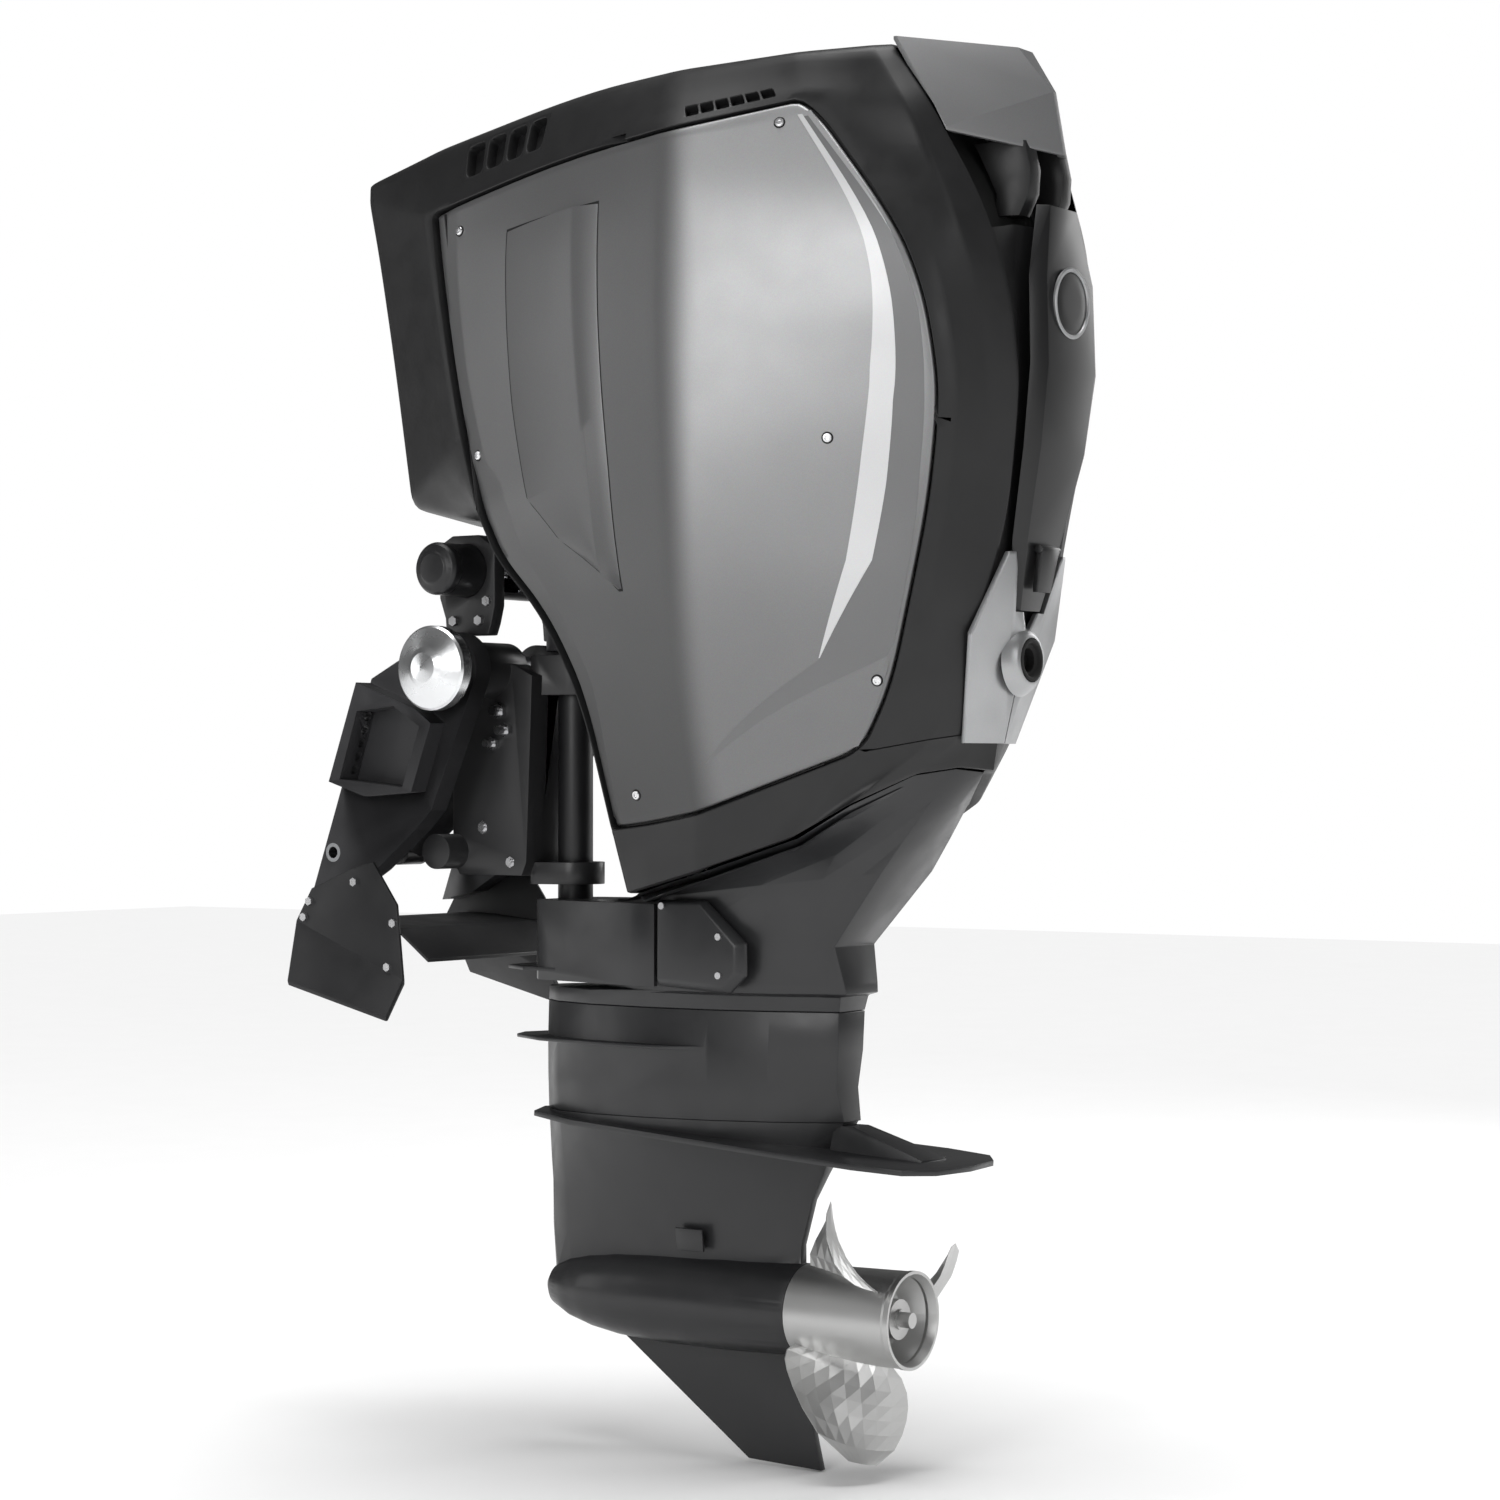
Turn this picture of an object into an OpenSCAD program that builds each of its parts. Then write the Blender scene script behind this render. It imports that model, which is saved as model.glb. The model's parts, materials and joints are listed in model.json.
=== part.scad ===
// Outboard motor: transom clamp brackets, tilting swivel with hydraulic steering,
// faceted engine cowl, midsection, gearcase and three-blade propeller.
// Frame: X to starboard, Y forward to the bow, Z up.
// Origin: top edge of the transom, on the centre line of the clamp faces.

/* [Overall] */
// Transom top down to the anti-ventilation plate (25 inch shaft)
shaft_len = 635; // [600:1:765]
// Widest point of the cowl, across both side panel ridges
cowl_w = 600; // [500:1:720]
// Anti-ventilation plate down to the propeller shaft axis
prop_drop = 207; // [190:1:250]

/* [Shells] */
// Wall of the black cowl shells
cowl_wall = 5; // [4:0.5:8]
// Thickness of the side panels
panel_t = 4; // [3:0.5:5]
// Gap between a panel and the shell behind it
panel_gap = 1; // [0.8:0.1:2]
// Wall of the cast midsection and extension housings
cast_wall = 9; // [7:0.5:11]
// Gap left between neighbouring housings
seam_gap = 0.6; // [0.4:0.1:1]

/* [Transom clamp] */
// Angle of the clamp faces from the vertical
transom_angle = 20; // [14:1:22]
// Distance between the two columns of mounting holes
hole_span = 327; // [320:1:332]
// Diameter of a mounting hole
hole_d = 13.5; // [12:0.1:14]
// Distance between holes in a column
hole_pitch = 19; // [18:0.5:22]
// Holes in each column
hole_count = 5; // [4:1:5]
// Distance down the clamp face to the first hole
hole_drop = 62; // [56:1:66]

/* [Tilt] */
// Radius of the tilt tube
tilt_tube_r = 22; // [19:0.5:26]
// Radius of the silver end caps of the tilt tube
tilt_cap_r = 57; // [48:1:62]
// Radius of the tilt cylinder barrel
tilt_barrel_r = 27; // [23:0.5:29]
// Radius of the tilt rod
tilt_rod_r = 11; // [9:0.5:13]

/* [Steering] */
// Radius of the king pin
king_r = 24; // [20:0.5:27]
// Outer radius of the steering cylinder
ram_cyl_r = 35.5; // [34:0.5:38]
// Radius of the steering ram rod
ram_rod_r = 11; // [9:0.5:12]
// Radius of the drive pin across the ram
ram_pin_r = 8; // [6:0.5:9]

/* [Drive] */
// Radius of the drive shaft
drive_r = 14; // [11:0.5:17]
// Radius of the propeller shaft
prop_shaft_r = 13; // [11:0.5:15]
// Teeth on the pinion
pinion_teeth = 13; // [13]
// Teeth on each driven gear
gear_teeth = 24; // [24]
// Gear module at the large end
gear_module = 3.6; // [3.2:0.1:3.8]
// Radial clearance of a running fit
run_gap = 0.05; // [0.03:0.01:0.08]

/* [Propeller] */
// Propeller diameter
prop_d = 374; // [312:1:390]
// Outer diameter of the hub at its trailing ring
hub_d = 127; // [116:1:130]
// Blades
blades = 3; // [3:1:4]

/* [Hidden] */

// ---- places that several pieces share ----
tilt_y = -130;                      // tilt axis, at the height of the transom top
king_y = -225;                      // steering axis
drive_y = -430;                     // crankshaft and drive shaft axis
ram_y = -128;                       // steering ram axis
ram_z = 134;
plate_z = -shaft_len;               // anti-ventilation plate, at its aft end
shaft_z = plate_z - prop_drop;      // propeller shaft axis
mid_z = -450;                       // seam under the midsection
leg_z = plate_z + 36;               // seam under the extension housing
hub_front = -608;
hub_rear = -769;
wide = cowl_w / 600;                // how the cowl's half widths follow its width
bracket_in = 128;                   // inner faces of the clamp brackets
bracket_out = 160;
boss_out = 190;
cap_seat = 176;
cap_out = 215;
tilt_low = [74, -250];              // lower pivot of the tilt cylinder, on the cross tube
tilt_high = [-150, -60];            // its upper pivot, in the swivel bracket's channel
cross_r = 13;                       // lower cross tube
seat = 0.03;                        // clearance of a fixed seat
EPS = 0.01;

// ---- helpers ----
function lerp(a, b, t) = a + (b - a) * t;
function unit(v) = v / max(norm(v), 1e-6);
function flip(p) = [-p[0], p[1], p[2]];
function last(list) = len(list) - 1;

// A half ring from the front centre round the port side to the rear centre, closed by its mirror image
function ring(half) = concat([for (p = half) flip(p)],
    [for (i = [last(half) - 1:-1:1]) half[i]]);

// Outward normal of a ring at point i, in plan
function plan_normal(r, i) = let (
        a = r[(i + len(r) - 1) % len(r)],
        b = r[(i + 1) % len(r)],
        t = unit([b[0] - a[0], b[1] - a[1]]))
    [-t[1], t[0], 0];

// The ring moved inward by d and shifted by dz
function inset(r, d, dz = 0) = [for (i = [0:last(r)]) r[i] + plan_normal(r, i) * d + [0, 0, dz]];

function band_faces(rows, n, base, out) = [for (j = [0:rows - 2]) for (i = [0:n - 1]) let (
        a = base + j * n + i,
        b = base + j * n + (i + 1) % n,
        c = b + n,
        d = a + n)
    each i < n / 2
        ? (out ? [[a, b, c], [a, c, d]] : [[a, c, b], [a, d, c]])
        : (out ? [[a, b, d], [b, c, d]] : [[a, d, b], [b, d, c]])];

function fan(n, base, centre, out) = [for (i = [0:n - 1]) let (a = base + i, b = base + (i + 1) % n)
    out ? [a, b, centre] : [b, a, centre]];

function middle(r) = let (n = len(r)) [for (k = [0:2]) [for (p = r) p[k]] * [for (i = [1:n]) 1 / n]];

// Closed mesh whose faces are listed anticlockwise as seen from outside
module mesh(points, faces) polyhedron(points, [for (f = faces) [f[2], f[1], f[0]]]);

// Solid through a list of rings, bottom to top
module loft(rings) {
    n = len(rings[0]);
    m = len(rings);
    flat = [for (r = rings) each r];
    mesh(concat(flat, [middle(rings[0]), middle(rings[m - 1])]),
        concat(band_faces(m, n, 0, true), fan(n, 0, m * n, false), fan(n, (m - 1) * n, m * n + 1, true)));
}

// Shell between outer and inner rings, open at the bottom, open or closed at the top
module shell(outer, inner, closed_top = true) {
    n = len(outer[0]);
    m = len(outer);
    k = len(inner);
    flat = [for (r = outer) each r];
    core = [for (r = inner) each r];
    rim = [for (i = [0:n - 1]) let (a = i, b = (i + 1) % n, c = m * n + a, d = m * n + b)
        each [[b, a, c], [b, c, d]]];
    top = closed_top
        ? concat(fan(n, (m - 1) * n, (m + k) * n, true), fan(n, (m + k - 1) * n, (m + k) * n + 1, false))
        : [for (i = [0:n - 1]) let (
                a = (m - 1) * n + i,
                b = (m - 1) * n + (i + 1) % n,
                c = (m + k - 1) * n + i,
                d = (m + k - 1) * n + (i + 1) % n)
            each [[a, b, d], [a, d, c]]];
    centres = closed_top ? [middle(outer[m - 1]), middle(inner[k - 1])] : [];
    mesh(concat(flat, core, centres),
        concat(band_faces(m, n, 0, true), band_faces(k, n, m * n, false), rim, top));
}

// Patch with an outer and an inner face: two equal grids of points, rows by columns
module patch(outer, inner) {
    m = len(outer);
    n = len(outer[0]);
    flat = concat([for (r = outer) each r], [for (r = inner) each r]);
    half = m * n;
    quads = [for (j = [0:m - 2]) for (i = [0:n - 2]) [j * n + i, j * n + i + 1, (j + 1) * n + i + 1, (j + 1) * n + i]];
    front = [for (q = quads) each [[q[0], q[1], q[2]], [q[0], q[2], q[3]]]];
    back = [for (f = front) [f[0] + half, f[2] + half, f[1] + half]];
    edge = concat([for (i = [0:n - 1]) i], [for (j = [1:m - 1]) j * n + n - 1],
        [for (i = [n - 2:-1:0]) (m - 1) * n + i], [for (j = [m - 2:-1:1]) j * n]);
    side = [for (i = [0:last(edge)]) let (a = edge[i], b = edge[(i + 1) % len(edge)])
        each [[b, a, a + half], [b, a + half, b + half]]];
    mesh(flat, concat(front, back, side));
}

module across(x0, x1) translate([x0, 0, 0]) rotate([90, 0, 90]) linear_extrude(x1 - x0) children();
module tube_x(r, x0, x1) translate([x0, 0, 0]) rotate([0, 90, 0]) cylinder(r = r, h = x1 - x0, $fn = 72);
module tube_y(r, y0, y1) translate([0, y1, 0]) rotate([90, 0, 0]) cylinder(r = r, h = y1 - y0, $fn = 72);
module tube_z(r, z0, z1) translate([0, 0, z0]) cylinder(r = r, h = z1 - z0, $fn = 72);
module both_sides() {
    children();
    mirror([1, 0, 0]) children();
}

// ---- cowl surface ----
// Each line runs from the front centre round to the rear centre: half width, y, z
bottom_line = [[0, -398, -299], [110, -400, -299], [160, -432, -296], [178, -490, -283], [185, -565, -264],
    [172, -700, -221], [156, -774, -180], [91, -833, -142], [43, -867, -134], [0, -888, -138]];
sill_line = [[0, -388, -232], [120, -390, -232], [186, -428, -222], [192, -495, -220], [212, -585, -204],
    [162, -800, -112], [95, -860, -98], [62, -879, -95], [40, -886, -90], [0, -896, -90]];
hip_line = [[0, -352, -40], [140, -352, -40], [210, -395, -50], [228, -475, -50], [256, -600, -50],
    [164, -846, -35], [103, -882, -30], [80, -896, -30], [60, -903, -25], [0, -915, -25]];
waist_line = [[0, -312, 70], [140, -312, 70], [216, -335, 62], [250, -430, 70], [278, -601, 75],
    [171, -878, 72], [113, -911, 65], [91, -922, 62], [62, -925, 60], [0, -929, 60]];
chin_line = [[0, -298, 160], [140, -290, 160], [212, -252, 140], [258, -410, 160], [290, -602, 185],
    [167, -904, 189], [111, -932, 180], [72, -951, 175], [58, -940, 160], [0, -948, 160]];
ledge_line = [[0, -215, 188], [150, -212, 188], [226, -232, 200], [266, -400, 250], [296, -602, 285],
    [176, -922, 290], [122, -952, 290], [87, -973, 290], [74, -964, 290], [0, -976, 290]];
lip_line = [[0, -42, 205], [140, -45, 222], [224, -205, 300], [268, -390, 330], [298, -600, 360],
    [183, -926, 345], [131, -955, 350], [92, -979, 350], [78, -970, 350], [0, -986, 350]];
brow_line = [[0, -12, 420], [146, -18, 420], [220, -178, 410], [267, -380, 450], [299, -598, 450],
    [203, -919, 440], [145, -950, 450], [104, -972, 455], [76, -966, 455], [0, -983, 455]];
crest_line = [[0, 8, 560], [150, 5, 560], [208, -148, 530], [258, -375, 560], [291, -592, 570],
    [217, -885, 528], [166, -929, 545], [122, -945, 560], [62, -952, 575], [0, -966, 575]];
panel_top = [[0, 26, 650], [152, 22, 642], [200, -133, 606], [240, -380, 648], [277, -578, 662],
    [217, -752, 694], [184, -877, 668], [157, -893, 675], [80, -880, 675], [0, -880, 675]];
roof_line = [[0, 34, 678], [150, 23, 666], [172, -120, 696], [190, -378, 742], [200, -540, 752],
    [192, -720, 755], [172, -816, 755], [156, -836, 757], [80, -826, 762], [0, -826, 766]];
crown_line = [[0, -45, 700], [88, -60, 700], [110, -180, 726], [120, -378, 756], [122, -540, 764],
    [115, -700, 766], [105, -770, 766], [90, -790, 766], [50, -796, 768], [0, -798, 770]];
cowl_lines = [bottom_line, sill_line, hip_line, waist_line, chin_line, ledge_line, lip_line,
    brow_line, crest_line, panel_top, roof_line, crown_line];
function widen(half) = [for (p = half) [p[0] * wide, p[1], p[2]]];
skin = [for (half = cowl_lines) ring(widen(half))];
first_panel = 1;                    // the side panel runs from the sill to its top edge
last_panel = 9;
panel_cols = [2, 3, 4, 5];

// How far the shell dips under the side panel at line j, column c
function dip(j, c) = j > first_panel && j < last_panel && (c == 3 || c == 4)
    ? panel_t + 2 * panel_gap : 0;
function column(i) = i <= 9 ? i : 18 - i;
function dipped(j) = [for (i = [0:17]) skin[j][i] + plan_normal(skin[j], i) * dip(j, column(i))];

// ---- midsection and leg surface ----
leg_t = [0, 0.02, 0.1, 0.25, 0.45, 0.65, 0.82, 0.94, 1, 1];
leg_x = [0, 0.28, 0.62, 0.9, 1, 0.93, 0.72, 0.45];
// Half outline of the leg: front and rear y, half width, half width of the blunt rear edge, front and rear z
function leg_line(yf, yr, w, wr, zf, zr) = [for (i = [0:9])
    [i < 8 ? max(w * leg_x[i], i > 5 ? wr : 0) : (i == 8 ? wr : 0), lerp(yf, yr, leg_t[i]), lerp(zf, zr, leg_t[i])]];
function leg_ring(yf, yr, w, wr, zf, zr) = ring(leg_line(yf, yr, w, wr, zf, zr));

// ================= clamp brackets =================
function on_face(s) = [s * sin(transom_angle), -s * cos(transom_angle)];   // point s down the clamp face

module clamp_bracket() {
    difference() {
        union() {
            across(bracket_in, bracket_out) union() {
                translate([tilt_y, 0]) circle(r = 50, $fn = 72);
                polygon([[tilt_y + 30, 40], on_face(12), on_face(345), [62, -312], [-4, -273],
                    [-74, -218], [-102, -191], [-114, -163], [tilt_y - 47, -17]]);
            }
            across(bracket_out - 12, boss_out) polygon([on_face(18), on_face(162), [-8, -172],
                [-92, -166], [-126, -74], [-98, -54], [-46, -36]]);
            translate([0, tilt_y, 0]) tube_x(46, bracket_out - 12, cap_seat - 0.5);
        }
        // pocket that opens outboard, behind the front wall of the boss
        across(bracket_out - 8, boss_out + 1) polygon([[-60, -50], on_face(60) + [-16, 0],
            on_face(152) + [-16, -6], [-76, -160], [-106, -78]]);
        translate([0, tilt_y, 0]) tube_x(tilt_tube_r + seat, bracket_in - 1, cap_seat + 1);
        translate([0, tilt_low[0], tilt_low[1]]) tube_x(cross_r + seat, bracket_in - 1, bracket_out + 1);
        for (k = [0:hole_count - 1])
            translate([hole_span / 2, on_face(hole_drop + k * hole_pitch)[0], on_face(hole_drop + k * hole_pitch)[1]])
                rotate([transom_angle - 90, 0, 0])
                    cylinder(d = hole_d, h = 60, center = true, $fn = 48);
    }
}

module clamp_bracket_starboard() color("#2c2c2e") clamp_bracket();
module clamp_bracket_port() color("#2c2c2e") mirror([1, 0, 0]) clamp_bracket();

module tilt_tube() color("#8a8d90") translate([0, tilt_y, 0]) difference() {
    tube_x(tilt_tube_r, -cap_seat, cap_seat);
    tube_x(tilt_tube_r - 6, -cap_seat - 1, cap_seat + 1);
}

module tilt_tube_caps() color("#c9ccd0") both_sides() translate([cap_seat, tilt_y, 0]) rotate([0, 90, 0])
    rotate_extrude($fn = 96) polygon([[0, 0], [tilt_cap_r - 1, 0], [tilt_cap_r, 3], [tilt_cap_r, 18],
        [tilt_cap_r - 3, 21], [28, 31], [20, 36], [0, cap_out - cap_seat]]);

module lower_cross_tube() color("#55585c") translate([0, tilt_low[0], tilt_low[1]]) difference() {
    tube_x(cross_r, -bracket_out, bracket_out);
    tube_x(cross_r - 5, -bracket_out - 1, bracket_out + 1);
}

guard_in = bracket_out + 0.5;
module guard_plate() {
    across(guard_in, guard_in + 5) polygon([[34, -271], [109, -300], [137, -345], [-56, -422],
        [-45, -320], [-2, -262]]);
    // lower flap flares outboard
    hull() {
        across(guard_in, guard_in + 5) polygon([[137, -345], [134, -351], [-56, -428], [-56, -422]]);
        across(guard_in + 34, guard_in + 39) polygon([[123, -427], [121, -433], [-55, -476], [-55, -470]]);
    }
}
module guard_plate_starboard() color("#303032") guard_plate();
module guard_plate_port() color("#303032") mirror([1, 0, 0]) guard_plate();

// Bent plate that spans the two brackets under the tilt cylinder
module cross_shield() color("#303032") across(-bracket_out, bracket_out) polygon([[100, -343], [60, -343],
    [-40, -352], [-96, -392], [-96, -397], [-42, -357], [60, -348], [102, -348]]);

guard_bolt_places = [[30, -290], [112, -318], [122, -340], [-40, -345], [-30, -405]];
module guard_bolts() color("#9a9da0") both_sides() for (p = guard_bolt_places)
    translate([guard_in + 5, p[0], p[1]]) rotate([0, 90, 0]) cylinder(r = 6, h = 4, $fn = 6);

// ================= swivel =================
swivel_half = 70;
lug_top = 20;
lug_low = -292;
channel = tilt_barrel_r + 6;        // half width of the slot that clears the tilt cylinder
module swivel_bracket() color("#2b2b2d") difference() {
    union() {
        across(-swivel_half, swivel_half) polygon([[-80, -22], [-69, -60], [-66, -170], [-66, -262],
            [-78, -280], [-186, -280], [-194, -262], [-198, -170], [-204, -8], [-170, 8], [-110, 8]]);
        translate([0, tilt_y, 0]) tube_x(tilt_tube_r + 16, -bracket_in + 1, bracket_in - 1);
        for (z = [[-34, lug_top], [lug_low, -262]]) hull() {
            translate([0, king_y, 0]) tube_z(king_r + 16, z[0], z[1]);
            translate([-50, -196, z[0]]) cube([100, 10, z[1] - z[0]]);
        }
        // trim stop bosses on the front foot
        both_sides() translate([0, -70, -248]) tube_x(24, swivel_half - EPS, 112);
    }
    translate([0, tilt_y, 0]) tube_x(tilt_tube_r + run_gap, -bracket_in, bracket_in);
    translate([0, king_y, 0]) tube_z(king_r + run_gap, lug_low - 1, lug_top + 1);
    translate([-king_r - 8, -260, -261]) cube([2 * king_r + 16, 62, 226]);
    // channel for the tilt cylinder, open to the front, above and below
    translate([-channel, -182, -300]) cube([2 * channel, 152, 360]);
}

module steering_cylinder() color("#232325") translate([0, ram_y, ram_z]) difference() {
    tube_x(ram_cyl_r, -168, 168);
    tube_x(ram_cyl_r - 4.5, -169, 169);
    // window for the steering arm
    translate([-80, -60, -27]) cube([160, 60, 54]);
}

module steering_cylinder_caps() color("#1f1f21") both_sides() translate([168, ram_y, ram_z]) rotate([0, 90, 0])
    rotate_extrude($fn = 72) polygon([[0, 0], [ram_cyl_r, 0], [ram_cyl_r, 12], [ram_cyl_r - 4, 17],
        [24, 19], [20, 22], [0, 22]]);

arm_x = [96, 118];
module steering_support_arms() color("#29292b") both_sides() difference() {
    across(arm_x[0], arm_x[1]) polygon([[-178, 86], [-172, 62], [-166, 46], [-94, 46], [-92, 70], [-82, 98],
        [-82, 170], [-104, 182], [-150, 182], [-178, 164]]);
    translate([0, ram_y, ram_z]) tube_x(ram_cyl_r + seat, arm_x[0] - 1, arm_x[1] + 1);
}
module support_arm_bolts() color("#a4a7aa") both_sides() for (p = [[-152, 66], [-108, 66], [-166, 92]])
    translate([arm_x[1], p[0], p[1]]) rotate([0, 90, 0]) cylinder(r = 7, h = 5, $fn = 6);

module fitting(x, y, z, r, h) translate([x, y, z]) rotate([0, -90, 0]) union() {
    cylinder(r = r, h = h * 0.4, $fn = 6);
    translate([0, 0, h * 0.4 - EPS]) cylinder(r = r * 0.6, h = h * 0.6, $fn = 24);
}
module hydraulic_fittings() color("#b4b7ba") {
    fitting(-swivel_half, -150, -56, 11, 20);
    fitting(-swivel_half, -162, -82, 10, 24);
    fitting(-swivel_half, -140, -100, 9, 22);
    fitting(-swivel_half, -120, -215, 9, 6);
    fitting(-swivel_half, -168, -262, 8, 6);
}

piston_r = ram_cyl_r - 4.5 - run_gap;
module steering_ram() color("#b9bcc0") translate([0, ram_y, ram_z]) {
    tube_x(ram_rod_r, -105, 105);
    both_sides() tube_x(piston_r, 96, 112);
    tube_z(ram_pin_r, -24, 24);
}

// ================= tilt cylinder =================
tilt_dir = unit(tilt_high - tilt_low);
tilt_span = norm(tilt_high - tilt_low);
tilt_turn = atan2(tilt_dir[1], tilt_dir[0]);
module along_tilt() translate([0, tilt_low[0], tilt_low[1]]) rotate([tilt_turn - 90, 0, 0]) children();
barrel_len = 190;
module tilt_cylinder() color("#262628") along_tilt() difference() {
    union() {
        tube_z(tilt_barrel_r, 18, barrel_len);
        tube_x(20, -tilt_barrel_r + 3, tilt_barrel_r - 3);
        tube_z(16, 4, 20);
    }
    tube_x(cross_r + run_gap, -40, 40);
    tube_z(tilt_barrel_r - 6, 30, barrel_len - 14);
    tube_z(tilt_rod_r + run_gap, 40, barrel_len + 1);
}
module tilt_rod() color("#c4c7ca") along_tilt() difference() {
    union() {
        tube_z(tilt_rod_r, 48, tilt_span - 8);
        tube_z(tilt_barrel_r - 6 - run_gap, 40, 58);
        translate([0, 0, tilt_span]) tube_x(12, -11, 11);
    }
    translate([0, 0, tilt_span]) tube_x(6, -12, 12);
}

// ================= steering pivot and yokes =================
king_low = -420;
king_top = 160;
module king_pin() color("#4a4d50") translate([0, king_y, 0]) difference() {
    tube_z(king_r, king_low, king_top);
    tube_z(king_r - 8, king_low - 1, king_top + 1);
}

arm_gap = ram_rod_r + 3;
module steering_arm() color("#2e2e30") difference() {
    union() {
        translate([0, king_y, 0]) tube_z(king_r + 14, ram_z - 24, ram_z + 24);
        for (z = [ram_z - arm_gap - 7, ram_z + arm_gap]) translate([0, 0, z]) linear_extrude(7)
            polygon([[-30, king_y + 20], [-18, ram_y - 14], [-18, ram_y + 13], [18, ram_y + 13],
                [18, ram_y - 14], [30, king_y + 20]]);
    }
    translate([0, king_y, 0]) tube_z(king_r + seat, ram_z - 30, ram_z + 30);
    // slot round the ram's pin, open to the front
    translate([-ram_pin_r - 3, ram_y - 12, ram_z - 40]) cube([2 * ram_pin_r + 6, 40, 80]);
}

module upper_yoke() color("#2e2e30") difference() {
    union() {
        translate([0, king_y, 0]) tube_z(king_r + 16, 26, 100);
        translate([-62, -336, 30]) cube([124, 94, 64]);
    }
    translate([0, king_y, 0]) tube_z(king_r + seat, 20, 110);
}
module upper_mounts() color("#1a1a1b") both_sides() translate([18, drive_y + block_front, 38])
    cube([40, -336 - drive_y - block_front, 48]);

yoke_top = -312;
module lower_yoke() color("#2f2f31") difference() {
    union() {
        translate([0, 0, king_low]) linear_extrude(yoke_top - king_low) polygon(
            [[-45, -193], [45, -193], [70, -215], [112, -400], [112, -440], [104.5, -440], [97, -400],
                [70, -325], [26, -280], [-26, -280], [-70, -325], [-97, -400], [-104.5, -440],
                [-112, -440], [-112, -400], [-70, -215]]);
        // thin skirt that reaches forward under the yoke
        translate([0, 0, king_low + 12]) linear_extrude(5)
            polygon([[-40, -140], [40, -140], [72, -190], [78, -250], [-78, -250], [-72, -190]]);
    }
    translate([0, king_y, 0]) tube_z(king_r + seat, king_low - 1, yoke_top + 1);
    // chamfer along the upper front edge
    translate([0, -193, yoke_top + 4]) rotate([45, 0, 0]) cube([260, 18, 18], center = true);
}

cover_in = 105;
module mount_cover() hull() {
    across(cover_in, cover_in + 5) polygon([[-446, -306], [-521, -306], [-585, -360], [-585, -402],
        [-560, -426], [-446, -419]]);
    across(cover_in, cover_in + 14) polygon([[-450, -310], [-516, -310], [-572, -364], [-572, -398],
        [-554, -416], [-450, -410]]);
}
module mount_cover_starboard() color("#2d2d2f") mount_cover();
module mount_cover_port() color("#2d2d2f") mirror([1, 0, 0]) mount_cover();
module mount_cover_screws() color("#a9acaf") both_sides() for (p = [[-458, -314], [-548, -352], [-548, -402]])
    translate([cover_in + 14, p[0], p[1]]) rotate([0, 90, 0]) cylinder(r = 4.5, h = 2.5, $fn = 24);

// ================= midsection, extension, gearcase =================
neck_ring = leg_ring(-292, -760, 98, 62, -318, -268);
mouth_ring = inset(skin[0], 14, -2);
// ring between the neck and the mouth, that spreads outwards later than it rises
function flare(out, up) = [for (i = [0:17])
    [lerp(neck_ring[i][0], mouth_ring[i][0], out), lerp(neck_ring[i][1], mouth_ring[i][1], up),
        lerp(neck_ring[i][2], mouth_ring[i][2], up)]];
mid_rings = [leg_ring(-188, -676, 86, 31, mid_z + seam_gap, mid_z + seam_gap),
    leg_ring(-190, -680, 88, 34, -430, -430), leg_ring(-284, -692, 94, 38, -426, -426),
    leg_ring(-284, -690, 96, 40, -412, -412), leg_ring(-284, -680, 97, 48, -364, -364),
    neck_ring, flare(0.22, 0.33), flare(0.55, 0.67), mouth_ring];
mid_last = len(mid_rings) - 1;
module midsection() color("#35363a") difference() {
    shell(mid_rings, [for (j = [0:mid_last])
        inset(mid_rings[j], cast_wall, j == mid_last ? -cast_wall : (j < 3 ? 0 : 1))]);
    translate([0, drive_y, 0]) tube_z(drive_r + 8, -340, -180);
}

ext_rings = [leg_ring(-187, -677, 80, 20, leg_z + seam_gap, leg_z + seam_gap + 6),
    leg_ring(-186, -669, 82, 26, lerp(leg_z, mid_z, 0.33), lerp(leg_z, mid_z, 0.33)),
    leg_ring(-186, -674, 84, 30, lerp(leg_z, mid_z, 0.66), lerp(leg_z, mid_z, 0.66)),
    leg_ring(-188, -676, 86, 31, mid_z, mid_z)];
splash_z = mid_z - 53;
module extension_housing() color("#35363a") difference() {
    union() {
        loft(ext_rings);
        translate([0, 0, splash_z]) linear_extrude(5) polygon([[0, -136], [34, -150], [70, -215], [96, -330],
            [98, -440], [70, -520], [-70, -520], [-98, -440], [-96, -330], [-70, -215], [-34, -150]]);
    }
    loft([for (j = [0:3]) inset(ext_rings[j], cast_wall, j == 0 ? -8 : (j == 3 ? 8 : 0))]);
}

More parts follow.
